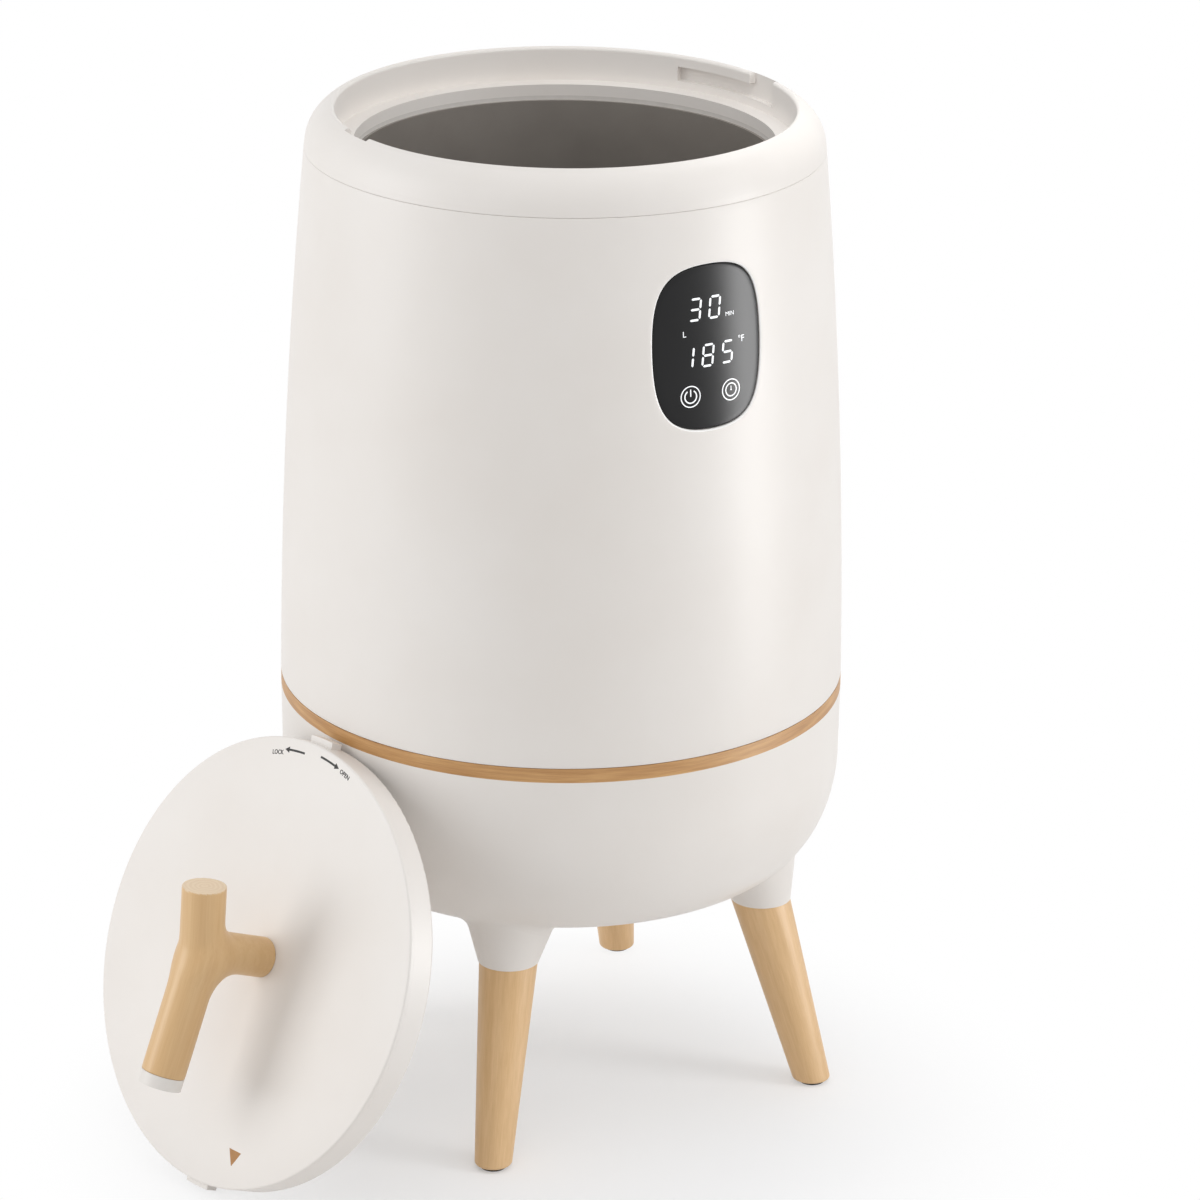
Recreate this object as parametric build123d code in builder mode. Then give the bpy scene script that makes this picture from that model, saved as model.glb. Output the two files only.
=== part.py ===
from build123d import *
from math import cos, radians, sin, sqrt, tan
import os

os.makedirs("parts", exist_ok=True)

# Towel warmer bucket. Millimetres, +Z up. The origin is on the bucket's axis at floor level,
# the control panel faces -Y, and the lid leans on the bucket at its -X side.
# An azimuth is in degrees round the bucket's axis, from -Y (0) towards +X (90).

# ---------------- driving dimensions ----------------
running_gap = 0.1
screw_pilot, screw_clearance = 1.5, 1.7
screw_head_radius, screw_head_height = 3.0, 1.8

# bucket outline: radius and height of each station of the outer wall
band_radius = 160.0
waist_radius, waist_z = 156.1, 380.0
seam_radius, seam_z = 144.0, 552.7
overall_height = 576.0
shell_wall = 2.6

# lower shell
shoulder_z = 238.5
band_height = 8.0
band_gap = 0.2
knee_radius, knee_z = 159.6, 200.4
floor_radius, floor_z = 119.4, 136.5
floor_wall = 3.0

# lid seat in the rim ring
mouth_radius = 127.0
ledge_z = 556.0
lip_radius = 116.6
lip_low_z = 549.5
notch_azimuth = -91.5
lug_depth = 4.0

# inner pot
pot_inner_radius = 115.0
pot_wall = 1.4
pot_flange_z = 547.0
pot_low_z = 174.0

# legs: the axis runs from the foot circle at the floor to the socket circle
leg_azimuths = [45.0, -45.0, -135.0, 135.0]
leg_names = ["leg_front_right", "leg_front_left", "leg_rear_left", "leg_rear_right"]
foot_circle, socket_circle = 153.0, 119.5
socket_rim_z = 113.3
leg_top_diameter, leg_foot_diameter = 33.1, 20.9
socket_rim_diameter = 34.7
socket_flare = 20.0
pad_height, pad_diameter = 2.0, 15.0

# control panel, wrapped on the front wall
panel_half_width, panel_half_height, panel_z = 33.8, 44.9, 477.6
squircle = 0.766
icon_x, icon_z = 12.8, 452.0

# lid, leaning on the bucket
lid_radius, lid_thickness = 126.0, 17.5
lean_azimuth, lean_angle = -80.4, 22.5
lug_reach, lug_half_angle, lug_turn = 129.6, 4.0, 2.0
lug_low, lug_high = 5.0, 12.0
floor_clearance = 0.3

# branch handle on the lid
handle_across, handle_up = 7.0, 5.0
handle_standoff = 45.0
stem_diameter, stub_diameter = 24.6, 22.6
stem_up_length, stem_down_length, stem_tilt = 37.0, 72.0, 18.0
cap_length = 7.0


# ---------------- construction helpers ----------------
def at(azimuth, radius, z):
    """Point at an azimuth and radius round the bucket's axis."""
    return Vector(radius * sin(radians(azimuth)), -radius * cos(radians(azimuth)), z)


def station_radius(z):
    """Outer radius of the body shell, on the arc through its three stations."""
    return outline_centre_r + sqrt(outline_arc_radius**2 - (z - outline_centre_z) ** 2)


def superellipse(half_width, half_height, centre_z):
    """Closed squircle outline of the panel family, drawn with four curves."""
    k_w, k_h = squircle * half_width, squircle * half_height
    for side in (1, -1):
        for lift in (1, -1):
            Bezier(
                (side * half_width, centre_z),
                (side * half_width, centre_z + lift * k_h),
                (side * k_w, centre_z + lift * half_height),
                (0, centre_z + lift * half_height),
            )


def leg_axis(azimuth, z):
    """Point of a leg's axis at a height."""
    return at(azimuth, foot_circle - leg_slope * z, z)


def leg_plane(azimuth, z):
    """Plane square to a leg's axis at a height, facing up the leg."""
    return Plane(leg_axis(azimuth, z), z_dir=leg_axis(azimuth, z + 1) - leg_axis(azimuth, z))


def radial_plane(azimuth, radius, z):
    """Upright plane at a point of the wall, facing away from the bucket's axis."""
    return Plane(at(azimuth, radius, z), x_dir=at(azimuth + 90, 1, 0), z_dir=at(azimuth, 1, 0))


def save(part, label):
    """Label one finished piece and write its STEP file."""
    part.label = label
    export_step(part, f"parts/{label}.step")


seated = (Align.CENTER, Align.CENTER, Align.MIN)
hung = (Align.CENTER, Align.CENTER, Align.MAX)
leg_slope = (foot_circle - socket_circle) / socket_rim_z
shell_screw_azimuths = list(range(30, 390, 60))
shell_screw_z = shoulder_z + band_height / 2

# circle through the three outline stations, in the radius-height plane
body_low_z = shoulder_z + band_height + band_gap
low_point = (band_radius, body_low_z)
mid_point = (waist_radius, waist_z)
top_point = (seam_radius, seam_z)
chord_a = (mid_point[0] - low_point[0], mid_point[1] - low_point[1])
chord_b = (top_point[0] - low_point[0], top_point[1] - low_point[1])
chord_cross = 2 * (chord_a[0] * chord_b[1] - chord_a[1] * chord_b[0])
square_a = chord_a[0] ** 2 + chord_a[1] ** 2
square_b = chord_b[0] ** 2 + chord_b[1] ** 2
outline_centre_r = low_point[0] + (chord_b[1] * square_a - chord_a[1] * square_b) / chord_cross
outline_centre_z = low_point[1] + (chord_a[0] * square_b - chord_b[0] * square_a) / chord_cross
outline_arc_radius = sqrt(
    (low_point[0] - outline_centre_r) ** 2 + (low_point[1] - outline_centre_z) ** 2
)

# ---------------- body shell: tapered outer wall with the panel window ----------------
sleeve_outer, sleeve_inner = 154.2, 151.7
sleeve_low_z, sleeve_top_z = 232.0, 252.0
window_clearance = 0.25
shell_pilot_depth = 8.0

with BuildPart() as body_shell:
    with BuildSketch(Plane.XZ):
        with BuildLine():
            ThreePointArc(low_point, mid_point, top_point)
            Line(top_point, (seam_radius - shell_wall, seam_z))
            ThreePointArc(
                (seam_radius - shell_wall, seam_z),
                (waist_radius - shell_wall, waist_z),
                (station_radius(sleeve_top_z) - shell_wall, sleeve_top_z),
            )
            Polyline(
                (station_radius(sleeve_top_z) - shell_wall, sleeve_top_z),
                (sleeve_inner, sleeve_top_z),
                (sleeve_inner, sleeve_low_z),
                (sleeve_outer, sleeve_low_z),
                (sleeve_outer, body_low_z),
                low_point,
            )
        make_face()
    revolve(axis=Axis.Z)
    with BuildSketch(Plane.XZ):
        with BuildLine():
            superellipse(
                panel_half_width + window_clearance, panel_half_height + window_clearance, panel_z
            )
        make_face()
    extrude(amount=band_radius, mode=Mode.SUBTRACT)
    with Locations([radial_plane(a, sleeve_inner, shell_screw_z) for a in shell_screw_azimuths]):
        Cylinder(screw_pilot, shell_pilot_depth, mode=Mode.SUBTRACT)
save(body_shell.part, "body_shell")

# ---------------- trim band: wood-look strip in the groove between the shells ----------------
band_wall = 2.8

with BuildPart() as trim_band:
    with BuildSketch(Plane.XY.offset(shoulder_z)):
        Circle(band_radius)
        Circle(band_radius - band_wall, mode=Mode.SUBTRACT)
    extrude(amount=band_height)
save(trim_band.part, "trim_band")

# ---------------- lower shell: bowl with four leg sockets and a base opening ----------------
spigot_gap, spigot_wall = 0.3, 2.5
spigot_inner, spigot_outer = sleeve_outer + spigot_gap, sleeve_outer + spigot_gap + spigot_wall
cover_radius, cover_flange, cover_thickness = 78.8, 5.0, 1.5
cover_screw_circle, cover_boss_radius, cover_boss_top_z = 76.2, 4.2, 150.0
cover_pilot_depth, cover_top_z = 10.0, floor_z + cover_thickness
post_circle, post_radius, post_top_z, post_pilot_depth = 104.0, 9.0, 168.0, 12.0
shoulder_ring_height, shoulder_ring_gap = 8.0, 0.5
socket_top_z, socket_fillet = 152.0, 9.0
inlet_z, inlet_width, inlet_height = 212.0, 32.0, 25.0
inlet_pocket_y, inlet_wall_y, inlet_border, inlet_slack = 157.2, 153.0, 4.0, 0.2
insert_radius, insert_length, insert_start = 5.5, 18.0, 4.0
stud_radius, stud_slack, stud_into_socket, stud_into_leg = 4.0, 0.2, 24.0, 26.0
inlet_body_width, inlet_body_height, inlet_flange = 27.0, 19.8, 2.0
cover_screw_points = [at(azimuth, cover_screw_circle, floor_z) for azimuth in (0, 90, 180, 270)]
post_points = [at(azimuth, post_circle, post_top_z) for azimuth in leg_azimuths]


def bowl_profile(inset):
    """Outline of the bowl's half section, inset from its outer face."""
    Line((band_radius - inset, shoulder_z), (knee_radius - inset, knee_z))
    EllipticalCenterArc(
        (floor_radius, knee_z),
        knee_radius - inset - floor_radius,
        knee_z - floor_z - inset,
        start_angle=270,
        arc_size=90,
    )
    Polyline(
        (floor_radius, floor_z + inset),
        (0, floor_z + inset),
        (0, shoulder_z),
        (band_radius - inset, shoulder_z),
    )


with BuildPart() as lower_shell:
    with BuildSketch(Plane.XZ):
        with BuildLine():
            bowl_profile(0)
        make_face()
    revolve(axis=Axis.Z)
    socket_radius = socket_rim_diameter / 2
    socket_top_radius = socket_radius + (socket_top_z - socket_rim_z) * tan(radians(socket_flare))
    for azimuth in leg_azimuths:
        for z, radius in ((socket_rim_z, socket_radius), (socket_top_z, socket_top_radius)):
            with BuildSketch(Plane(leg_axis(azimuth, z))):
                Circle(radius)
        loft()
    curved_edges = lower_shell.edges().filter_by(GeomType.CIRCLE, reverse=True)
    low_edges = curved_edges.filter_by_position(Axis.Z, floor_z, knee_z)
    socket_roots = low_edges.filter_by(lambda edge: edge.bounding_box().size.Z > 1)
    fillet(socket_roots, socket_fillet)
    # hollow of the bowl, base opening with its recess, and the ring that fits inside the body shell
    with BuildSketch(Plane.XZ):
        with BuildLine():
            bowl_profile(floor_wall)
        make_face()
    revolve(axis=Axis.Z, mode=Mode.SUBTRACT)
    with BuildSketch(Plane.XY.offset(shoulder_z - shoulder_ring_height)):
        Circle(band_radius - floor_wall + shoulder_ring_gap)
        Circle(spigot_inner, mode=Mode.SUBTRACT)
    extrude(amount=shoulder_ring_height)
    with BuildSketch(Plane.XY.offset(shoulder_z)):
        Circle(spigot_outer)
        Circle(spigot_inner, mode=Mode.SUBTRACT)
    extrude(amount=band_height)
    with BuildSketch(Plane.XY.offset(floor_z)):
        Circle(cover_radius - cover_flange)
    extrude(amount=floor_wall, mode=Mode.SUBTRACT)
    # posts for the chassis plate and bosses for the base cover
    with BuildSketch(Plane.XY.offset(floor_z)):
        with Locations([(p.X, p.Y) for p in post_points]):
            Circle(post_radius)
    extrude(amount=post_top_z - floor_z)
    with BuildSketch(Plane.XY.offset(floor_z)):
        with Locations([(p.X, p.Y) for p in cover_screw_points]):
            Circle(cover_boss_radius)
    extrude(amount=cover_boss_top_z - floor_z)
    with BuildSketch(Plane.XY.offset(floor_z)):
        Circle(cover_radius + running_gap)
    extrude(amount=cover_thickness, mode=Mode.SUBTRACT)
    with Locations(cover_screw_points):
        with Locations((0, 0, cover_thickness)):
            Cylinder(screw_pilot, cover_pilot_depth, align=seated, mode=Mode.SUBTRACT)
    with Locations(post_points):
        with Locations((0, 0, -post_pilot_depth)):
            Cylinder(screw_pilot, post_pilot_depth, align=seated, mode=Mode.SUBTRACT)
    # stepped bores for the leg studs and their inserts, along the leg axes
    for azimuth in leg_azimuths:
        socket_face = leg_plane(azimuth, socket_rim_z)
        with Locations(socket_face.offset(-socket_radius)):
            Cylinder(
                stud_radius + stud_slack, socket_radius + stud_into_socket, align=seated, mode=Mode.SUBTRACT
            )
        with Locations(socket_face.offset(insert_start)):
            Cylinder(insert_radius, insert_length, align=seated, mode=Mode.SUBTRACT)
    # radial holes behind the trim band, and the flat seat of the power inlet
    with Locations([radial_plane(a, sleeve_inner, shell_screw_z) for a in shell_screw_azimuths]):
        Cylinder(screw_clearance, shell_pilot_depth, align=seated, mode=Mode.SUBTRACT)
    with BuildSketch(Plane.XZ.offset(-inlet_wall_y)):
        with Locations((0, inlet_z)):
            Rectangle(inlet_width + 2 * inlet_border, inlet_height + 2 * inlet_border)
    extrude(amount=-(inlet_pocket_y - inlet_wall_y + inlet_slack))
    with BuildSketch(Plane.XZ.offset(-inlet_pocket_y)):
        with Locations((0, inlet_z)):
            Rectangle(inlet_width + 2 * inlet_slack, inlet_height + 2 * inlet_slack)
    extrude(amount=-inlet_height, mode=Mode.SUBTRACT)
    with BuildSketch(Plane.XZ.offset(-inlet_wall_y)):
        with Locations((0, inlet_z)):
            Rectangle(inlet_body_width + inlet_slack, inlet_body_height + inlet_slack)
    extrude(amount=inlet_height / 2, both=True, mode=Mode.SUBTRACT)
save(lower_shell.part, "lower_shell")

# ---------------- shell screws: sunk flush behind the trim band ----------------
shell_screw_point = 2.0

with BuildPart() as shell_screws:
    for azimuth in shell_screw_azimuths:
        with Locations(radial_plane(azimuth, sleeve_inner - shell_screw_point, shell_screw_z)):
            Cylinder(screw_pilot, spigot_outer - sleeve_inner + shell_screw_point, align=seated)
save(shell_screws.part, "shell_screws")

# ---------------- base cover: vented plate screwed up into the lower shell ----------------
vent_length, vent_width, vent_pitch, vent_count = 42.0, 3.0, 8.0, 9
cover_rib_gap, cover_rib_wall, cover_rib_height = 0.3, 2.0, 4.5
cover_screw_bite, driver_radius, driver_depth = 8.0, 0.9, 1.2

with BuildPart() as base_cover:
    with BuildSketch(Plane.XY.offset(floor_z)):
        Circle(cover_radius)
        with GridLocations(0, vent_pitch, 1, vent_count):
            SlotOverall(vent_length, vent_width, mode=Mode.SUBTRACT)
    extrude(amount=cover_thickness)
    with BuildSketch(Plane.XY.offset(cover_top_z)):
        Circle(cover_radius - cover_flange - cover_rib_gap)
        Circle(cover_radius - cover_flange - cover_rib_gap - cover_rib_wall, mode=Mode.SUBTRACT)
        with Locations([(p.X, p.Y) for p in cover_screw_points]):
            Circle(cover_boss_radius + cover_rib_gap, mode=Mode.SUBTRACT)
    extrude(amount=cover_rib_height)
    with Locations(cover_screw_points):
        Cylinder(screw_clearance, cover_thickness, align=seated, mode=Mode.SUBTRACT)
save(base_cover.part, "base_cover")

with BuildPart() as base_screws:
    with Locations(cover_screw_points):
        Cylinder(screw_pilot, cover_thickness + cover_screw_bite, align=seated)
        with Locations((0, 0, -screw_head_height)):
            Cylinder(screw_head_radius, screw_head_height, align=seated)
            Cylinder(driver_radius, driver_depth, align=seated, mode=Mode.SUBTRACT)
save(base_screws.part, "base_screws")

# ---------------- rim ring: rounded collar with the lid seat and bayonet channels ----------------
rim_line_top, crease_radius, crease_z, mouth_round = 555.8, 129.0, 575.4, 2.0
rim_hollow_top, rim_hollow_low = crease_z - 8.0, rim_line_top + 5.0
ledge_wall, lip_wall, mouth_wall = 2.6, 2.6, 7.0
tongue_outer, tongue_inner, tongue_low_z = 141.2, 138.6, 545.0
pot_screw_circle, pot_boss_radius = 124.0, 3.5
channel_low_z, channel_high_z, lock_turn, entry_half_angle = 560.6, 568.8, 35.5, 5.5
pot_screw_points = [at(azimuth, pot_screw_circle, pot_flange_z) for azimuth in range(15, 375, 60)]


def section_plane(azimuth):
    """Plane through the bucket's axis: local x runs outward and local y runs up."""
    return Plane((0, 0, 0), x_dir=at(azimuth, 1, 0), z_dir=at(azimuth, 1, 0).cross(Vector(0, 0, 1)))


seam_slope = (
    -(seam_z - outline_centre_z) / outline_arc_radius,
    (seam_radius - outline_centre_r) / outline_arc_radius,
)
rim_start = (
    seam_radius + seam_slope[0] / seam_slope[1] * (rim_line_top - seam_z),
    rim_line_top,
)

with BuildPart() as rim_ring:
    with BuildSketch(Plane.XZ):
        with BuildLine():
            Line((seam_radius, seam_z), rim_start)
            TangentArc(rim_start, (crease_radius, crease_z), tangent=seam_slope)
            RadiusArc((crease_radius, crease_z), (mouth_radius, crease_z - mouth_round), -mouth_round)
            Polyline(
                (mouth_radius, crease_z - mouth_round),
                (mouth_radius, ledge_z),
                (lip_radius, ledge_z),
                (lip_radius, lip_low_z),
                (lip_radius + lip_wall, lip_low_z),
                (lip_radius + lip_wall, ledge_z - ledge_wall),
                (mouth_radius + mouth_wall, ledge_z - ledge_wall),
                (mouth_radius + mouth_wall, rim_hollow_top),
                (tongue_inner, rim_hollow_low),
                (tongue_inner, tongue_low_z),
                (tongue_outer, tongue_low_z),
                (tongue_outer, seam_z),
                (seam_radius, seam_z),
            )
        make_face()
    revolve(axis=Axis.Z)
    with BuildSketch(Plane.XY.offset(pot_flange_z)):
        with Locations([(p.X, p.Y) for p in pot_screw_points]):
            Circle(pot_boss_radius)
            Circle(screw_pilot, mode=Mode.SUBTRACT)
    extrude(amount=ledge_z - ledge_wall - pot_flange_z)
    for entry_azimuth in (notch_azimuth, notch_azimuth + 180):
        channel_start = section_plane(entry_azimuth - entry_half_angle)
        for top_z, turn in ((overall_height, 2 * entry_half_angle), (channel_high_z, lock_turn)):
            with BuildSketch(channel_start):
                with Locations((mouth_radius, channel_low_z)):
                    Rectangle(lug_depth, top_z - channel_low_z, align=Align.MIN)
            revolve(axis=Axis.Z, revolution_arc=turn, mode=Mode.SUBTRACT)
save(rim_ring.part, "rim_ring")

# ---------------- inner pot: drawn aluminium, hung from the rim ring by its flange ----------------
pot_outer_radius = pot_inner_radius + pot_wall
pot_flange_radius, pot_flange_wall, pot_corner, pot_screw_bite = 129.0, 1.5, 14.0, 5.5

with BuildPart() as inner_pot:
    with BuildSketch(Plane.XZ):
        with BuildLine():
            Line((0, pot_low_z), (pot_outer_radius - pot_corner, pot_low_z))
            RadiusArc(
                (pot_outer_radius - pot_corner, pot_low_z),
                (pot_outer_radius, pot_low_z + pot_corner),
                -pot_corner,
            )
            Polyline(
                (pot_outer_radius, pot_low_z + pot_corner),
                (pot_outer_radius, pot_flange_z - pot_flange_wall),
                (pot_flange_radius, pot_flange_z - pot_flange_wall),
                (pot_flange_radius, pot_flange_z),
                (pot_inner_radius, pot_flange_z),
                (pot_inner_radius, pot_low_z + pot_corner),
            )
            RadiusArc(
                (pot_inner_radius, pot_low_z + pot_corner),
                (pot_inner_radius - pot_corner + pot_wall, pot_low_z + pot_wall),
                pot_corner - pot_wall,
            )
            Polyline(
                (pot_inner_radius - pot_corner + pot_wall, pot_low_z + pot_wall),
                (0, pot_low_z + pot_wall),
                (0, pot_low_z),
            )
        make_face()
    revolve(axis=Axis.Z)
    with Locations(pot_screw_points):
        Cylinder(screw_clearance, 4 * pot_flange_wall, mode=Mode.SUBTRACT)
save(inner_pot.part, "inner_pot")

with BuildPart() as pot_gasket:
    with BuildSketch(Plane.XY.offset(pot_flange_z)):
        Circle(lip_radius + lip_wall)
        Circle(lip_radius, mode=Mode.SUBTRACT)
    extrude(amount=lip_low_z - pot_flange_z)
save(pot_gasket.part, "pot_gasket")

with BuildPart() as pot_screws:
    with Locations(pot_screw_points):
        with Locations((0, 0, -pot_flange_wall - screw_head_height)):
            Cylinder(screw_head_radius, screw_head_height, align=seated)
        with Locations((0, 0, -pot_flange_wall)):
            Cylinder(screw_pilot, pot_flange_wall + pot_screw_bite, align=seated)
save(pot_screws.part, "pot_screws")

# ---------------- heating band and felt insulation round the pot ----------------
heater_low_z, heater_high_z, heater_wall, heater_seam = 196.0, 340.0, 1.2, 6.0
felt_low_z, felt_high_z, felt_outer_radius, felt_gap = 206.0, 530.0, 125.0, 0.3
heater_radius = pot_outer_radius + heater_wall
tab_width, tab_height, tab_wall, tab_low_z = 4.0, 6.0, 3.2, 199.0
heater_tab_y = (-8.4, -3.2)

with BuildPart() as heating_band:
    with BuildSketch(Plane.XY.offset(heater_low_z)):
        Circle(heater_radius)
        Circle(pot_outer_radius, mode=Mode.SUBTRACT)
        with Locations((0, pot_outer_radius)):
            Rectangle(heater_seam, 4 * heater_wall, mode=Mode.SUBTRACT)
    extrude(amount=heater_high_z - heater_low_z)
    for tab_y in heater_tab_y:
        with Locations((-sqrt(heater_radius**2 - tab_y**2), tab_y, tab_low_z)):
            Box(tab_wall, tab_width, tab_height, align=(Align.MAX, Align.CENTER, Align.MIN))
            with Locations((heater_wall / 2, 0, 0)):
                Box(heater_wall, tab_width, tab_height, align=(Align.MAX, Align.CENTER, Align.MIN))
save(heating_band.part, "heating_band")

with BuildPart() as insulation_wrap:
    with BuildSketch(Plane.XY.offset(felt_low_z)):
        Circle(felt_outer_radius)
        Circle(heater_radius + felt_gap, mode=Mode.SUBTRACT)
    extrude(amount=felt_high_z - felt_low_z)
save(insulation_wrap.part, "insulation_wrap")

# ---------------- chassis plate: carries the pot and shields the electrics ----------------
chassis_radius, chassis_wall, chassis_hole = 135.0, 3.0, 15.0
rest_circle, rest_radius = 80.0, 8.0
cutout_x, cutout_radius, cutout_cap_radius = 45.0, 8.0, 7.0
lead_slot_x, lead_slot_y, lead_slot_length, lead_slot_width = -120.5, -5.8, 18.0, 8.0
cable_slot_y, cable_slot_width, chassis_screw_bite, cutout_hole_gap = 124.0, 24.0, 9.0, 1.0
chassis_top_z = post_top_z + chassis_wall

with BuildPart() as chassis_plate:
    with BuildSketch(Plane.XY.offset(post_top_z)):
        Circle(chassis_radius)
        Circle(chassis_hole, mode=Mode.SUBTRACT)
        with Locations((cutout_x, 0)):
            Circle(cutout_radius + cutout_hole_gap, mode=Mode.SUBTRACT)
        with Locations((lead_slot_x, lead_slot_y)):
            SlotOverall(lead_slot_length, lead_slot_width, rotation=90, mode=Mode.SUBTRACT)
        with Locations((0, chassis_radius), (0, -chassis_radius)):
            Rectangle(cable_slot_width, 2 * (chassis_radius - cable_slot_y), mode=Mode.SUBTRACT)
        with Locations([(p.X, p.Y) for p in post_points]):
            Circle(screw_clearance, mode=Mode.SUBTRACT)
    extrude(amount=chassis_wall)
save(chassis_plate.part, "chassis_plate")

with BuildPart() as chassis_screws:
    with Locations(post_points):
        with Locations((0, 0, chassis_wall)):
            Cylinder(screw_head_radius, screw_head_height, align=seated)
        with Locations((0, 0, -chassis_screw_bite)):
            Cylinder(screw_pilot, chassis_wall + chassis_screw_bite, align=seated)
save(chassis_screws.part, "chassis_screws")

with BuildPart() as pot_rest_pads:
    with BuildSketch(Plane.XY.offset(chassis_top_z)):
        with PolarLocations(rest_circle, 4):
            Circle(rest_radius)
    extrude(amount=pot_low_z - chassis_top_z)
save(pot_rest_pads.part, "pot_rest_pads")

# ---------------- temperature sensor and thermal cut-out under the pot ----------------
sensor_radius, sensor_height, sensor_flange, sensor_flange_wall = 5.0, 10.0, 7.0, 1.2
clip_length, clip_width, clip_wall, clip_corner, clip_slack = 46.0, 14.0, 1.4, 4.0, 0.05
bracket_length, bracket_width, bracket_wall = 38.0, 16.0, 0.8
cutout_drop, cutout_body_height, cutout_overlap = 6.0, 8.6, 0.4
blade_pitch, blade_width, blade_wall, blade_length = 8.0, 4.0, 0.8, 6.0

with BuildPart() as temperature_sensor:
    with Locations((0, 0, pot_low_z - sensor_height)):
        Cylinder(sensor_radius, sensor_height, align=seated)
    with Locations((0, 0, chassis_top_z - sensor_flange_wall)):
        Cylinder(sensor_flange, sensor_flange_wall, align=seated)
    fillet(temperature_sensor.edges().sort_by(Axis.Z)[0], sensor_flange_wall)
save(temperature_sensor.part, "temperature_sensor")

with BuildPart() as sensor_clip:
    with BuildSketch(Plane.XY.offset(chassis_top_z)):
        RectangleRounded(clip_length, clip_width, clip_corner)
        Circle(sensor_radius + clip_slack, mode=Mode.SUBTRACT)
    extrude(amount=clip_wall)
save(sensor_clip.part, "sensor_clip")

with BuildPart() as thermal_cutout:
    with Locations((cutout_x, 0, post_top_z - cutout_drop)):
        Cylinder(cutout_radius, cutout_body_height, align=seated)
        with Locations((0, 0, -blade_length)):
            with GridLocations(0, blade_pitch, 1, 2):
                Box(blade_width, blade_wall, blade_length, align=seated)
    with Locations((cutout_x, 0, chassis_top_z - cutout_overlap)):
        Cylinder(cutout_cap_radius, pot_low_z - chassis_top_z + cutout_overlap, align=seated)
save(thermal_cutout.part, "thermal_cutout")

with BuildPart() as cutout_bracket:
    with BuildSketch(Plane.XY.offset(chassis_top_z)):
        with Locations((cutout_x, 0)):
            RectangleRounded(bracket_length, bracket_width, clip_corner)
            Circle(cutout_cap_radius + clip_slack, mode=Mode.SUBTRACT)
    extrude(amount=bracket_wall)
save(cutout_bracket.part, "cutout_bracket")

# ---------------- power board on the base cover ----------------
board_width, board_depth, board_wall = 96.0, 60.0, 1.6
board_post_x, board_post_y, board_post_height, board_post_radius = 40.0, 24.0, 9.0, 3.2
board_corner = 3.0
board_low_z = cover_top_z + board_post_height
board_top_z = board_low_z + board_wall
board_screw_head, board_screw_head_height, board_screw_bite = 2.6, 1.6, 6.0
terminal_x, terminal_y, terminal_depth, terminal_width, terminal_height = -42.0, 2.0, 9.0, 27.0, 11.0
terminal_pitch, terminal_hole, terminal_hole_depth = 5.2, 1.7, 2.0
relay_place, relay_size, relay_corner = (24.0, 14.0), (19.0, 15.5, 15.0), 1.0
transformer_place, transformer_core, transformer_coil = (-22.0, -12.0), (30.0, 26.0, 9.0), (30.0, 18.0, 8.6)
capacitor_place, capacitor_radius, capacitor_height = (18.0, -14.0), 5.0, 14.0

with BuildPart() as board_standoffs:
    with BuildSketch(Plane.XY.offset(cover_top_z)):
        with GridLocations(2 * board_post_x, 2 * board_post_y, 2, 2):
            Circle(board_post_radius)
            Circle(screw_pilot, mode=Mode.SUBTRACT)
    extrude(amount=board_post_height)
save(board_standoffs.part, "board_standoffs")

with BuildPart() as power_board:
    with BuildSketch(Plane.XY.offset(board_low_z)):
        RectangleRounded(board_width, board_depth, board_corner)
        with GridLocations(2 * board_post_x, 2 * board_post_y, 2, 2):
            Circle(screw_clearance, mode=Mode.SUBTRACT)
    extrude(amount=board_wall)
save(power_board.part, "power_board")

with BuildPart() as board_screws:
    with Locations((0, 0, board_top_z)):
        with GridLocations(2 * board_post_x, 2 * board_post_y, 2, 2):
            Cylinder(board_screw_head, board_screw_head_height, align=seated)
            with Locations((0, 0, -board_wall - board_screw_bite)):
                Cylinder(screw_pilot, board_wall + board_screw_bite, align=seated)
save(board_screws.part, "board_screws")

with BuildPart() as board_relay:
    with Locations((*relay_place, board_top_z)):
        Box(*relay_size, align=seated)
    fillet(board_relay.edges().filter_by(Axis.Z), relay_corner)
save(board_relay.part, "board_relay")

with BuildPart() as board_transformer:
    with Locations((*transformer_place, board_top_z)):
        Box(*transformer_core, align=seated)
        with Locations((0, 0, transformer_core[2])):
            Box(*transformer_coil, align=seated)
save(board_transformer.part, "board_transformer")

with BuildPart() as board_capacitor:
    with Locations((*capacitor_place, board_top_z)):
        Cylinder(capacitor_radius, capacitor_height, align=seated)
    fillet(board_capacitor.edges().group_by(Axis.Z)[-1], capacitor_radius / 5)
save(board_capacitor.part, "board_capacitor")

with BuildPart() as board_terminals:
    with Locations((terminal_x, terminal_y, board_top_z)):
        Box(terminal_depth, terminal_width, terminal_height, align=seated)
        with Locations((0, 0, terminal_height - terminal_hole_depth)):
            with GridLocations(0, terminal_pitch, 1, 5):
                Cylinder(terminal_hole, terminal_hole_depth, align=seated, mode=Mode.SUBTRACT)
save(board_terminals.part, "board_terminals")

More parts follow.
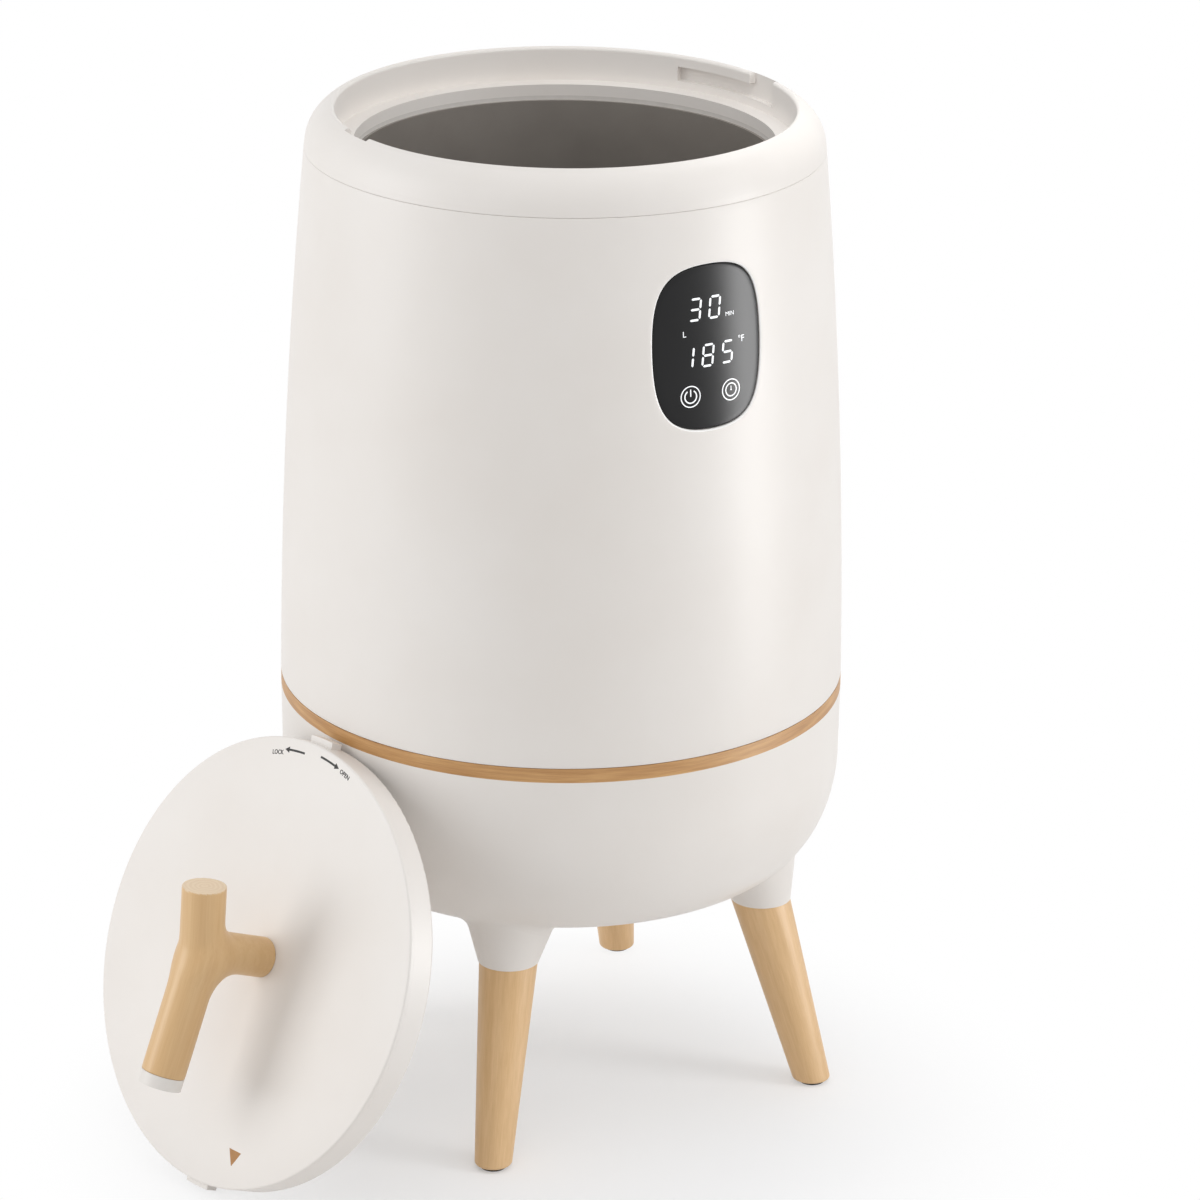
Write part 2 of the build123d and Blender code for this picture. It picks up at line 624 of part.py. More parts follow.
# ---------------- power inlet in the rear of the lower shell, with its pins and leads ----------------
inlet_depth, inlet_recess_width, inlet_recess_height, inlet_recess_depth = 24.0, 24.0, 17.0, 16.0
inlet_corner = 3.0
pin_spread, pin_rise, pin_width, pin_height = 7.0, 1.5, 2.0, 4.0
pin_reach, pin_tail = 11.0, 2.0
lead_radius, supply_bend, heater_bend, lead_z = 1.2, 2.4, 8.0, 154.0
supply_drop_y, supply_turn_y, supply_turn_x = 127.8, 70.0, -62.0
inlet_face_y = inlet_pocket_y + inlet_flange
inlet_back_y = inlet_pocket_y - inlet_depth
recess_floor_y = inlet_face_y - inlet_recess_depth
pin_points = [
    (-pin_spread, inlet_z - pin_rise),
    (0, inlet_z + pin_rise),
    (pin_spread, inlet_z - pin_rise),
]

with BuildPart() as power_inlet:
    with BuildSketch(Plane.XZ.offset(-inlet_pocket_y)):
        with Locations((0, inlet_z)):
            RectangleRounded(inlet_width, inlet_height, inlet_corner)
    extrude(amount=-inlet_flange)
    with BuildSketch(Plane.XZ.offset(-inlet_back_y)):
        with Locations((0, inlet_z)):
            Rectangle(inlet_body_width, inlet_body_height)
    extrude(amount=-inlet_depth)
    with BuildSketch(Plane.XZ.offset(-recess_floor_y)):
        with Locations((0, inlet_z)):
            RectangleRounded(inlet_recess_width, inlet_recess_height, inlet_corner)
    extrude(amount=-inlet_recess_depth, mode=Mode.SUBTRACT)
    with BuildSketch(Plane.XZ.offset(-inlet_back_y)):
        with Locations(*pin_points):
            Rectangle(pin_width, pin_height)
    extrude(amount=-inlet_depth, mode=Mode.SUBTRACT)
save(power_inlet.part, "power_inlet")

with BuildPart() as inlet_pins:
    with BuildSketch(Plane.XZ.offset(-(inlet_back_y - pin_tail))):
        with Locations(*pin_points):
            Rectangle(pin_width, pin_height)
    extrude(amount=-(recess_floor_y - inlet_back_y + pin_reach + pin_tail))
save(inlet_pins.part, "inlet_pins")


def wire(points, bend):
    """Round insulated lead along straight runs joined by bends."""
    with BuildPart() as lead:
        with BuildLine():
            route = FilletPolyline(*points, radius=bend)
        with BuildSketch(Plane(route @ 0, z_dir=route % 0)):
            Circle(lead_radius)
        sweep(path=route)
    return lead.part


with BuildPart() as supply_leads:
    for i, (pin_x, pin_z) in enumerate(pin_points):
        turn_x = supply_turn_x + i * terminal_pitch
        turn_y = supply_turn_y - i * terminal_pitch
        terminal_lane_y = terminal_y + i * terminal_pitch
        route_points = [
            (pin_x, inlet_back_y - pin_tail, pin_z),
            (pin_x, supply_drop_y, pin_z),
            (pin_x, supply_drop_y, lead_z),
            (pin_x, turn_y, lead_z),
            (turn_x, turn_y, lead_z),
            (turn_x, terminal_lane_y, lead_z),
            (terminal_x - terminal_depth / 2, terminal_lane_y, lead_z),
        ]
        add(wire(route_points, supply_bend))
save(supply_leads.part, "supply_leads")

with BuildPart() as heater_leads:
    for tab_y in heater_tab_y:
        drop_x = -sqrt(heater_radius**2 - tab_y**2) - tab_wall / 2
        route_points = [
            (drop_x, tab_y, tab_low_z),
            (drop_x, tab_y, lead_z),
            (terminal_x - terminal_depth / 2, tab_y, lead_z),
        ]
        add(wire(route_points, heater_bend))
save(heater_leads.part, "heater_leads")

# ---------------- control panel: curved lens, seal, housing and display board ----------------
lens_recess, lens_back, seal_back = 0.2, 2.6, 3.6
seal_half_width, seal_half_height = 38.0, 49.0
opening_half_width, opening_half_height = 29.5, 40.5
housing_half_width, housing_half_height = 40.5, 51.5
display_y, display_wall, display_width, display_height, display_corner = -133.6, 1.6, 56.0, 84.0, 4.0
display_screw_x, display_screw_z, display_hole_depth = 25.0, 36.0, 6.0


def wall_slice(outer_inset, inner_inset):
    """Ring of space between two depths below the body shell's outer face, round the panel."""
    low, high = 2 * panel_z - seam_z, seam_z
    outer_low, outer_high = station_radius(low) - outer_inset, station_radius(high) - outer_inset
    inner_low, inner_high = station_radius(low) - inner_inset, station_radius(high) - inner_inset
    middle = station_radius(panel_z)
    with BuildPart() as ring:
        with BuildSketch(Plane.XZ):
            with BuildLine():
                ThreePointArc((outer_low, low), (middle - outer_inset, panel_z), (outer_high, high))
                Line((outer_high, high), (inner_high, high))
                ThreePointArc((inner_high, high), (middle - inner_inset, panel_z), (inner_low, low))
                Line((inner_low, low), (outer_low, low))
            make_face()
        revolve(axis=Axis.Z)
    return ring.part


def squircle_block(half_width, half_height):
    """Squircle block from the display board's plane out through the wall."""
    with BuildPart() as block:
        with BuildSketch(Plane.XZ.offset(-display_y)):
            with BuildLine():
                superellipse(half_width, half_height, panel_z)
            make_face()
        extrude(amount=band_radius + display_y)
    return block.part


with BuildPart() as control_lens:
    add(squircle_block(panel_half_width, panel_half_height))
    add(wall_slice(lens_recess, lens_back), mode=Mode.INTERSECT)
save(control_lens.part, "control_lens")

with BuildPart() as lens_seal:
    add(squircle_block(seal_half_width, seal_half_height))
    add(squircle_block(opening_half_width, opening_half_height), mode=Mode.SUBTRACT)
    add(wall_slice(lens_back, seal_back), mode=Mode.INTERSECT)
save(lens_seal.part, "lens_seal")

with BuildPart() as display_housing:
    add(squircle_block(housing_half_width, housing_half_height))
    add(squircle_block(opening_half_width, opening_half_height), mode=Mode.SUBTRACT)
    add(wall_slice(shell_wall, band_radius / 2), mode=Mode.INTERSECT)
    add(lens_seal.part, mode=Mode.SUBTRACT)
    with BuildSketch(Plane.XZ.offset(-display_y)):
        with Locations((0, panel_z)):
            with GridLocations(2 * display_screw_x, 2 * display_screw_z, 2, 2):
                Circle(screw_pilot)
    extrude(amount=display_hole_depth, mode=Mode.SUBTRACT)
save(display_housing.part, "display_housing")

with BuildPart() as display_board:
    with BuildSketch(Plane.XZ.offset(-display_y)):
        with Locations((0, panel_z)):
            RectangleRounded(display_width, display_height, display_corner)
            with GridLocations(2 * display_screw_x, 2 * display_screw_z, 2, 2):
                Circle(screw_clearance, mode=Mode.SUBTRACT)
    extrude(amount=-display_wall)
save(display_board.part, "display_board")

with BuildPart() as display_screws:
    with Locations(Plane.XZ.offset(-(display_y + display_wall))):
        with Locations((0, panel_z, 0)):
            with GridLocations(2 * display_screw_x, 2 * display_screw_z, 2, 2):
                Cylinder(board_screw_head, board_screw_head_height, align=hung)
                Cylinder(screw_pilot, display_wall + display_hole_depth, align=seated)
save(display_screws.part, "display_screws")

# ---------------- lit digit modules and touch springs on the display board ----------------
digit_depth, digit_corner = 8.0, 1.0
time_digit_x, time_digit_z, time_digit_width, time_digit_height = -2.0, 499.0, 24.0, 17.0
degree_digit_x, degree_digit_z, degree_digit_width, degree_digit_height = 2.0, 473.4, 36.0, 18.0
spring_radius, spring_wire, spring_pitch = 3.5, 0.4, 2.4


with BuildPart() as time_digit_module:
    with BuildSketch(Plane.XZ.offset(-display_y)):
        with Locations((time_digit_x, time_digit_z)):
            RectangleRounded(time_digit_width, time_digit_height, digit_corner)
    extrude(amount=digit_depth)
save(time_digit_module.part, "time_digit_module")

with BuildPart() as temperature_digit_module:
    with BuildSketch(Plane.XZ.offset(-display_y)):
        with Locations((degree_digit_x, degree_digit_z)):
            RectangleRounded(degree_digit_width, degree_digit_height, digit_corner)
    extrude(amount=digit_depth)
save(temperature_digit_module.part, "temperature_digit_module")

spring_front_y = -sqrt((station_radius(icon_z) - lens_back) ** 2 - (icon_x + spring_radius) ** 2)
spring_length = abs(spring_front_y - display_y) - 2 * spring_wire - running_gap

for side, spring_name in ((-1, "touch_spring_left"), (1, "touch_spring_right")):
    with BuildPart() as touch_spring:
        with BuildLine():
            coil = Helix(
                spring_pitch,
                spring_length,
                spring_radius,
                center=(side * icon_x, display_y - spring_wire, icon_z),
                direction=(0, -1, 0),
            )
        with BuildSketch(Plane(coil @ 0, z_dir=coil % 0)):
            Circle(spring_wire)
        sweep(path=coil, is_frenet=True)
    save(touch_spring.part, spring_name)

# ---------------- display cable: flat ribbon from the display board to the power board ----------------
ribbon_width, ribbon_wall, ribbon_bend = 10.0, 1.0, 3.0
ribbon_start_z, ribbon_run_z, plug_y = 452.0, 159.0, -22.0
plug_width, plug_depth, plug_height = 12.0, 7.0, 6.0
ribbon_y = display_y + display_wall + ribbon_wall / 2

with BuildPart() as display_cable:
    with BuildLine():
        ribbon = FilletPolyline(
            (0, ribbon_y, ribbon_start_z),
            (0, ribbon_y, ribbon_run_z),
            (0, plug_y, ribbon_run_z),
            (0, plug_y, board_top_z + plug_height),
            radius=ribbon_bend,
        )
    with BuildSketch(Plane(ribbon @ 0, x_dir=(1, 0, 0), z_dir=ribbon % 0)):
        Rectangle(ribbon_width, ribbon_wall)
    sweep(path=ribbon)
    with Locations((0, plug_y, board_top_z)):
        Box(plug_width, plug_depth, plug_height, align=seated)
save(display_cable.part, "display_cable")

# ---------------- legs: turned tapered beech, each on a stud in its socket ----------------
leg_foot_round = 1.5
leg_taper = (leg_top_diameter - leg_foot_diameter) / 2 / socket_rim_z
leg_run_out = 12.0

for azimuth, leg_name in zip(leg_azimuths, leg_names):
    with BuildPart() as leg:
        for z in (-leg_run_out, socket_rim_z + leg_run_out):
            with BuildSketch(leg_plane(azimuth, z)):
                Circle(leg_foot_diameter / 2 + leg_taper * z)
        loft()
        with BuildSketch(Plane(leg_axis(azimuth, pad_height))):
            Circle(2 * leg_top_diameter)
        extrude(amount=socket_rim_z - pad_height, mode=Mode.INTERSECT)
        fillet(leg.edges().group_by(Axis.Z)[0], leg_foot_round)
        with Locations(leg_plane(azimuth, socket_rim_z).offset(leg_run_out)):
            Cylinder(stud_radius, leg_run_out + stud_into_leg, align=hung, mode=Mode.SUBTRACT)
    save(leg.part, leg_name)

with BuildPart() as leg_studs:
    with Locations([leg_plane(a, socket_rim_z).offset(-stud_into_leg) for a in leg_azimuths]):
        Cylinder(stud_radius, stud_into_leg + stud_into_socket, align=seated)
save(leg_studs.part, "leg_studs")

with BuildPart() as leg_inserts:
    with Locations([leg_plane(a, socket_rim_z).offset(insert_start) for a in leg_azimuths]):
        Cylinder(insert_radius, insert_length, align=seated)
        Cylinder(stud_radius, insert_length, align=seated, mode=Mode.SUBTRACT)
save(leg_inserts.part, "leg_inserts")

with BuildPart() as foot_pads:
    with BuildSketch(Plane.XY):
        with Locations([(leg_axis(a, pad_height).X, leg_axis(a, pad_height).Y) for a in leg_azimuths]):
            Circle(pad_diameter / 2)
    extrude(amount=pad_height)
    fillet(foot_pads.edges().group_by(Axis.Z)[0], pad_height / 4)
save(foot_pads.part, "foot_pads")

# ---------------- lid: skirt, face plate, liner and the parts between them ----------------
# Local frame of the lid: x level across it, y up along it, z out of its face from the back plane.
lid_side_gap = 0.5
skirt_wall, skirt_top, skirt_back_round = 3.0, 14.5, 1.8
shelf_radius, shelf_low, face_back, face_round = 108.0, 12.4, 14.9, 1.0
lid_screw_circle, lid_boss_radius, lid_screw_count = 113.0, 3.5, 6
liner_radius, liner_wall, dish_radius, dish_drop = 122.9, 2.0, 108.0, 3.0
gasket_outer, gasket_inner, gasket_low, gasket_groove = 121.4, 117.4, -0.8, 1.2
lid_felt_radius, lid_felt_top, bolt_room = 109.0, 10.2, 9.0
bolt_radius, bolt_head_radius, bolt_head_height, bolt_reach = 2.5, 4.5, 3.0, 26.0
washer_radius, washer_wall, lid_screw_start = 8.0, 1.4, 30.0

lean = radians(lean_angle)
lid_centre_z = lug_reach * cos(lean)
lid_centre_radial = band_radius + lid_side_gap + lid_radius * sin(lean)
lid_across = at(lean_azimuth + 90, 1, 0)
lid_out = at(lean_azimuth, cos(lean), sin(lean))
lid_base = at(lean_azimuth, lid_centre_radial, lid_centre_z - lug_low * sin(lean) + floor_clearance)
lid_plane = Plane(lid_base, x_dir=lid_across, z_dir=lid_out)
lid_section = Plane(lid_base, x_dir=lid_across, z_dir=-lid_plane.y_dir)
lid_axis = Axis(lid_base, lid_out)

with BuildPart() as lid_skirt:
    with BuildSketch(lid_section) as skirt_profile:
        with BuildLine():
            Polyline(
                (lid_radius - skirt_wall, 0),
                (lid_radius, 0),
                (lid_radius, skirt_top),
                (lid_radius - skirt_wall + running_gap, skirt_top),
                (lid_radius - skirt_wall + running_gap, face_back),
                (shelf_radius, face_back),
                (shelf_radius, shelf_low),
                (lid_radius - skirt_wall, shelf_low),
                (lid_radius - skirt_wall, 0),
            )
        make_face()
        fillet(skirt_profile.vertices().sort_by_distance((lid_radius, 0))[0], skirt_back_round)
    revolve(axis=lid_axis)
    with BuildSketch(lid_plane.offset(lug_low)):
        Circle(lug_reach)
        Circle(lid_radius - skirt_wall / 2, mode=Mode.SUBTRACT)
        Rectangle(
            2 * lug_reach * sin(radians(lug_half_angle)),
            3 * lug_reach,
            rotation=lug_turn,
            mode=Mode.INTERSECT,
        )
    extrude(amount=lug_high - lug_low)
    with BuildSketch(lid_plane.offset(liner_wall)):
        with PolarLocations(lid_screw_circle, lid_screw_count, start_angle=lid_screw_start):
            Circle(lid_boss_radius)
            Circle(screw_pilot, mode=Mode.SUBTRACT)
    extrude(amount=shelf_low - liner_wall)
save(lid_skirt.part, "lid_skirt")

with BuildPart() as lid_face:
    with BuildSketch(lid_plane.offset(face_back)):
        Circle(lid_radius)
    extrude(amount=lid_thickness - face_back)
    fillet(lid_face.edges().sort_by(lid_axis)[-1], face_round)
    with BuildSketch(lid_plane.offset(face_back)):
        with Locations((handle_across, handle_up)):
            Circle(bolt_radius + running_gap)
    extrude(amount=lid_thickness, mode=Mode.SUBTRACT)
save(lid_face.part, "lid_face")

with BuildPart() as lid_liner:
    with BuildSketch(lid_section):
        with BuildLine():
            Polyline(
                (0, -dish_drop),
                (dish_radius, -dish_drop),
                (dish_radius, 0),
                (liner_radius, 0),
                (liner_radius, liner_wall),
                (dish_radius - liner_wall, liner_wall),
                (dish_radius - liner_wall, liner_wall - dish_drop),
                (0, liner_wall - dish_drop),
                (0, -dish_drop),
            )
        make_face()
    revolve(axis=lid_axis)
    with BuildSketch(lid_plane):
        Circle(gasket_outer)
        Circle(gasket_inner, mode=Mode.SUBTRACT)
    extrude(amount=gasket_groove, mode=Mode.SUBTRACT)
    with BuildSketch(lid_plane):
        with PolarLocations(lid_screw_circle, lid_screw_count, start_angle=lid_screw_start):
            Circle(screw_clearance)
    extrude(amount=liner_wall, mode=Mode.SUBTRACT)
save(lid_liner.part, "lid_liner")

with BuildPart() as lid_gasket:
    with BuildSketch(lid_plane.offset(gasket_low)):
        Circle(gasket_outer)
        Circle(gasket_inner, mode=Mode.SUBTRACT)
    extrude(amount=gasket_groove - gasket_low)
save(lid_gasket.part, "lid_gasket")

with BuildPart() as lid_screws:
    with BuildSketch(lid_plane.offset(-board_screw_head_height)):
        with PolarLocations(lid_screw_circle, lid_screw_count, start_angle=lid_screw_start):
            Circle(board_screw_head)
    extrude(amount=board_screw_head_height)
    with BuildSketch(lid_plane):
        with PolarLocations(lid_screw_circle, lid_screw_count, start_angle=lid_screw_start):
            Circle(screw_pilot)
    extrude(amount=liner_wall + board_screw_bite)
save(lid_screws.part, "lid_screws")

with BuildPart() as lid_insulation:
    with BuildSketch(lid_plane.offset(liner_wall)):
        Circle(lid_felt_radius)
        with Locations((handle_across, handle_up)):
            Circle(bolt_room, mode=Mode.SUBTRACT)
    extrude(amount=lid_felt_top - liner_wall)
save(lid_insulation.part, "lid_insulation")

with BuildPart() as handle_washer:
    with BuildSketch(lid_plane.offset(face_back - washer_wall)):
        with Locations((handle_across, handle_up)):
            Circle(washer_radius)
            Circle(bolt_radius + running_gap, mode=Mode.SUBTRACT)
    extrude(amount=washer_wall)
save(handle_washer.part, "handle_washer")

with BuildPart() as handle_bolt:
    with BuildSketch(lid_plane.offset(face_back - washer_wall - bolt_head_height)):
        with Locations((handle_across, handle_up)):
            Circle(bolt_head_radius)
    extrude(amount=bolt_head_height)
    with BuildSketch(lid_plane.offset(face_back - washer_wall)):
        with Locations((handle_across, handle_up)):
            Circle(bolt_radius)
    extrude(amount=lid_thickness + bolt_reach - face_back + washer_wall)
save(handle_bolt.part, "handle_bolt")

# ---------------- branch handle: forked stick on the lid's face, and its end cap ----------------
# The stem lies in an upright plane of the lid: x up along the lid, y out of its face.
stem_bend_radius, fork_round = 60.0, 8.0
stem_height = lid_thickness + handle_standoff
stem_tip = (stem_up_length * cos(radians(stem_tilt)), stem_up_length * sin(radians(stem_tilt)))
stem_plane = Plane(
    lid_plane.from_local_coords((handle_across, handle_up, stem_height)),
    x_dir=lid_plane.y_dir,
    z_dir=lid_across,
)

with BuildPart() as branch_handle:
    with BuildLine(stem_plane):
        stem = FilletPolyline((-stem_down_length, 0), (0, 0), stem_tip, radius=stem_bend_radius)
    with BuildSketch(Plane(stem @ 0, z_dir=stem % 0)):
        Circle(stem_diameter / 2)
    sweep(path=stem)
    with BuildSketch(lid_plane.offset(lid_thickness)):
        with Locations((handle_across, handle_up)):
            Circle(stub_diameter / 2)
    extrude(amount=handle_standoff)
    fork_edges = branch_handle.edges().filter_by(GeomType.BSPLINE)
    fillet(fork_edges, fork_round)
    with BuildSketch(lid_plane.offset(lid_thickness)):
        with Locations((handle_across, handle_up)):
            Circle(bolt_radius)
    extrude(amount=bolt_reach, mode=Mode.SUBTRACT)
save(branch_handle.part, "branch_handle")

with BuildPart() as handle_cap:
    with BuildSketch(Plane(stem @ 0, z_dir=-(stem % 0))):
        Circle(stem_diameter / 2 - running_gap)
    extrude(amount=cap_length)
save(handle_cap.part, "handle_cap")
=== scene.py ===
import math

import bmesh
import bpy
import numpy as np
from mathutils import Matrix, Vector


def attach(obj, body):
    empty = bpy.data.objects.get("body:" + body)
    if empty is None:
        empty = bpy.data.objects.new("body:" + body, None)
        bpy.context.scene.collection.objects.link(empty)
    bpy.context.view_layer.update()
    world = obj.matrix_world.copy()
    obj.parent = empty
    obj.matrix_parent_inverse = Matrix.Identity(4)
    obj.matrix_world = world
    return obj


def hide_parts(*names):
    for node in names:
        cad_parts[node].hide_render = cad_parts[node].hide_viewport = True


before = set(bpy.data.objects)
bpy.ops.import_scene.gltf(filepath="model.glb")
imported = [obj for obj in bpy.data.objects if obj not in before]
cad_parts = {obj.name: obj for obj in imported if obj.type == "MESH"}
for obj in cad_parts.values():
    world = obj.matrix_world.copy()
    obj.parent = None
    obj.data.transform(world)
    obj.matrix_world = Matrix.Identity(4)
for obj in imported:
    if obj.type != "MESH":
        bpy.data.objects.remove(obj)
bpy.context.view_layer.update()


# ---------------------------------------------------------------- camera
# The bucket is looked at from its left front, a little above its rim, from over two and a half
# metres away through a long lens, so that its legs and wall stay nearly parallel.
def turned(azimuth, radius, height):
    """Point round the bucket's axis. Azimuth is in degrees from the panel side, rightwards."""
    angle = math.radians(azimuth)
    return Vector((radius * math.sin(angle), -radius * math.cos(angle), height))


VIEW_AZIMUTH = -31.4
VIEW_DISTANCE = 2.666
VIEW_HEIGHT = 1.291
VIEW_PITCH, VIEW_YAW, VIEW_ROLL = map(math.radians, (20.68, 0.47, 0.64))

ahead = Vector(
    (
        math.sin(VIEW_YAW) * math.cos(VIEW_PITCH),
        math.cos(VIEW_YAW) * math.cos(VIEW_PITCH),
        -math.sin(VIEW_PITCH),
    )
)
level = Vector((math.cos(VIEW_YAW), -math.sin(VIEW_YAW), 0.0))
above = level.cross(ahead)
rightward = math.cos(VIEW_ROLL) * level + math.sin(VIEW_ROLL) * above
upward = math.cos(VIEW_ROLL) * above - math.sin(VIEW_ROLL) * level

viewer = bpy.data.objects.new("viewer", bpy.data.cameras.new("viewer"))
viewer.data.lens = 150.0
viewer.data.sensor_width = 36.0
bpy.context.collection.objects.link(viewer)
viewer.matrix_world = (
    Matrix.Translation(turned(VIEW_AZIMUTH, VIEW_DISTANCE, VIEW_HEIGHT))
    @ Matrix.Rotation(math.radians(VIEW_AZIMUTH), 4, "Z")
    @ Matrix((rightward, upward, -ahead)).transposed().to_4x4()
)
bpy.context.scene.camera = viewer


# ---------------------------------------------------------------- inner pot
# Drawn aluminium pot with a grey-brown satin coating. Its flange is screwed up under the rim
# ring and its floor stands on pads, and it warms the towel through its wall.
def srgb(red, green, blue):
    """Linear colour of a swatch given in screen values, 0 to 255."""
    return tuple(((c / 255 + 0.055) / 1.055) ** 2.4 for c in (red, green, blue)) + (1.0,)


def feed(finish, socket, value):
    """Give a socket its value, which is a constant or another node's output."""
    if isinstance(value, bpy.types.NodeSocket):
        finish.node_tree.links.new(value, socket)
    else:
        socket.default_value = value


def add_step(finish, kind, **settings):
    """One node of a finish. Each setting names an input, or an option in small letters."""
    step = finish.node_tree.nodes.new("ShaderNode" + kind)
    for name, value in settings.items():
        socket = step.inputs.get(name) or step.inputs.get(name.replace("_", " "))
        if socket is None:
            setattr(step, name, value)
        else:
            feed(finish, socket, value)
    return step


def add_ramp(finish, factor, stops):
    """Colour ramp through its stops, each a place from 0 to 1 and a colour."""
    step = add_step(finish, "ValToRGB", Fac=factor)
    marks = step.color_ramp.elements
    while len(marks) < len(stops):
        marks.new(1.0)
    for mark, (place, colour) in zip(marks, stops):
        mark.position, mark.color = place, colour
    return step.outputs["Color"]


def join_up(finish, tint, roughness, height, depth):
    """Feed colour, roughness and relief of a given depth in metres to the finish's shader."""
    shader = finish.node_tree.nodes["Principled BSDF"]
    relief = add_step(finish, "Bump", Height=height, Strength=0.6, Distance=depth)
    for source, target in (
        (tint, "Base Color"),
        (roughness, "Roughness"),
        (relief.outputs["Normal"], "Normal"),
    ):
        finish.node_tree.links.new(source, shader.inputs[target])


def surface_finish(name, dark, pale, patch, gloss, pore, depth, stretch=(1, 1, 1), **constants):
    """Finish whose colour wanders from dark to pale over patches, with pores that vary its gloss
    and stand up by depth. Lengths are in metres, and gloss holds two roughness values."""
    finish = bpy.data.materials.new(name)
    finish.use_nodes = True
    place = add_step(finish, "TexCoord").outputs["Object"]
    spread = add_step(finish, "Mapping", Vector=place, Scale=stretch).outputs["Vector"]
    cloud = add_step(finish, "TexNoise", Vector=spread, Scale=1 / patch, Detail=4.0)
    tint = add_ramp(finish, cloud.outputs["Fac"], [(0.3, dark), (0.7, pale)])
    grit = add_step(finish, "TexNoise", Vector=spread, Scale=1 / pore, Detail=3.0)
    low, high = gloss
    worn = add_step(finish, "MapRange", Value=grit.outputs["Fac"], To_Min=low, To_Max=high)
    join_up(finish, tint, worn.outputs["Result"], grit.outputs["Fac"], depth)
    for socket, value in constants.items():
        finish.node_tree.nodes["Principled BSDF"].inputs[socket.replace("_", " ")].default_value = value
    return finish


def dress(finish, *nodes):
    """Give parts carried over from the frame their finish."""
    for name in nodes:
        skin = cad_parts[name].data.materials
        skin.clear()
        skin.append(finish)


pot_coating = surface_finish(
    "pot_coating", srgb(146, 140, 134), srgb(154, 148, 142),
    patch=0.03, gloss=(0.36, 0.46), pore=0.0007, depth=0.00004, Metallic=0.35,
)
dress(pot_coating, "inner_pot")


# ---------------------------------------------------------------- pot gasket and rest pads
# Grey silicone: a flat ring between the pot's flange and the rim ring, and four round pads
# between the pot's floor and the chassis plate.
grey_silicone = surface_finish(
    "grey_silicone", srgb(208, 204, 199), srgb(214, 210, 206),
    patch=0.006, gloss=(0.6, 0.7), pore=0.0006, depth=0.00002,
)
dress(grey_silicone, "pot_gasket", "pot_rest_pads")


# ---------------------------------------------------------------- heating band
# Foil heater wrapped round the outside of the pot, crinkled where it was smoothed down by hand,
# with two tabs for the leads at its lower edge.
heater_foil = surface_finish(
    "heater_foil", srgb(206, 206, 208), srgb(226, 226, 228),
    patch=0.01, gloss=(0.22, 0.36), pore=0.003, depth=0.0001, Metallic=1.0,
)
dress(heater_foil, "heating_band")


# ---------------------------------------------------------------- felt round the pot
# Thick grey needled felt, rolled into a sleeve that fits snugly over the heating band and keeps
# the heat off the outer wall.
felt = surface_finish(
    "felt", srgb(186, 182, 176), srgb(206, 202, 196),
    patch=0.004, gloss=(0.85, 0.95), pore=0.0006, depth=0.0003,
)
dress(felt, "insulation_wrap")


# ---------------------------------------------------------------- chassis plate, sensor and cut-out
# Zinc-coated sheet steel: the plate that carries the pot over the electrics, the clip that holds
# the capped sensor, and the bracket of the black moulded cut-out, both under the pot.
chassis_steel = surface_finish(
    "chassis_steel", srgb(178, 181, 184), srgb(208, 210, 212),
    patch=0.008, gloss=(0.34, 0.5), pore=0.001, depth=0.00001, Metallic=1.0,
)
dress(chassis_steel, "chassis_plate", "cutout_bracket", "sensor_clip", "temperature_sensor")

black_plastic = surface_finish(
    "black_plastic", srgb(40, 40, 41), srgb(47, 47, 48),
    patch=0.01, gloss=(0.42, 0.55), pore=0.0005, depth=0.00002,
)
dress(black_plastic, "thermal_cutout")


# ---------------------------------------------------------------- power board
# Green lacquered board on four black standoffs over the base cover. It carries a blue relay, a
# transformer with a yellow taped coil, a sleeved capacitor and a row of screw terminals.
board_green = surface_finish(
    "board_green", srgb(26, 92, 48), srgb(34, 110, 60),
    patch=0.006, gloss=(0.22, 0.32), pore=0.001, depth=0.00002,
)
dress(board_green, "power_board")
dress(black_plastic, "board_standoffs")

relay_blue = surface_finish(
    "relay_blue", srgb(44, 84, 158), srgb(50, 92, 168),
    patch=0.01, gloss=(0.3, 0.4), pore=0.0008, depth=0.00001,
)
dress(relay_blue, "board_relay")

coil_yellow = surface_finish(
    "coil_yellow", srgb(216, 186, 66), srgb(226, 198, 84),
    patch=0.003, gloss=(0.4, 0.5), pore=0.0006, depth=0.00003, stretch=(1, 1, 8),
)
dress(coil_yellow, "board_transformer")

capacitor_sleeve = surface_finish(
    "capacitor_sleeve", srgb(34, 34, 44), srgb(42, 42, 54),
    patch=0.006, gloss=(0.2, 0.3), pore=0.001, depth=0.00001,
)
dress(capacitor_sleeve, "board_capacitor")

terminal_green = surface_finish(
    "terminal_green", srgb(44, 128, 78), srgb(52, 140, 88),
    patch=0.006, gloss=(0.4, 0.5), pore=0.0008, depth=0.00002,
)
dress(terminal_green, "board_terminals")


# ---------------------------------------------------------------- power inlet and leads
# Black moulded socket in the rear of the bowl with three brass pins. Red leads run from the pins
# to the terminals, and white heat-proof leads from there up to the heating band.
dress(black_plastic, "power_inlet")

brass = surface_finish(
    "brass", srgb(212, 176, 104), srgb(226, 192, 122),
    patch=0.003, gloss=(0.25, 0.36), pore=0.0004, depth=0.00001, Metallic=1.0,
)
dress(brass, "inlet_pins")

lead_red = surface_finish(
    "lead_red", srgb(176, 36, 32), srgb(192, 48, 42),
    patch=0.004, gloss=(0.5, 0.6), pore=0.0006, depth=0.00001,
)
dress(lead_red, "supply_leads")

lead_white = surface_finish(
    "lead_white", srgb(226, 226, 222), srgb(234, 234, 230),
    patch=0.004, gloss=(0.5, 0.6), pore=0.0006, depth=0.00001,
)
dress(lead_white, "heater_leads")


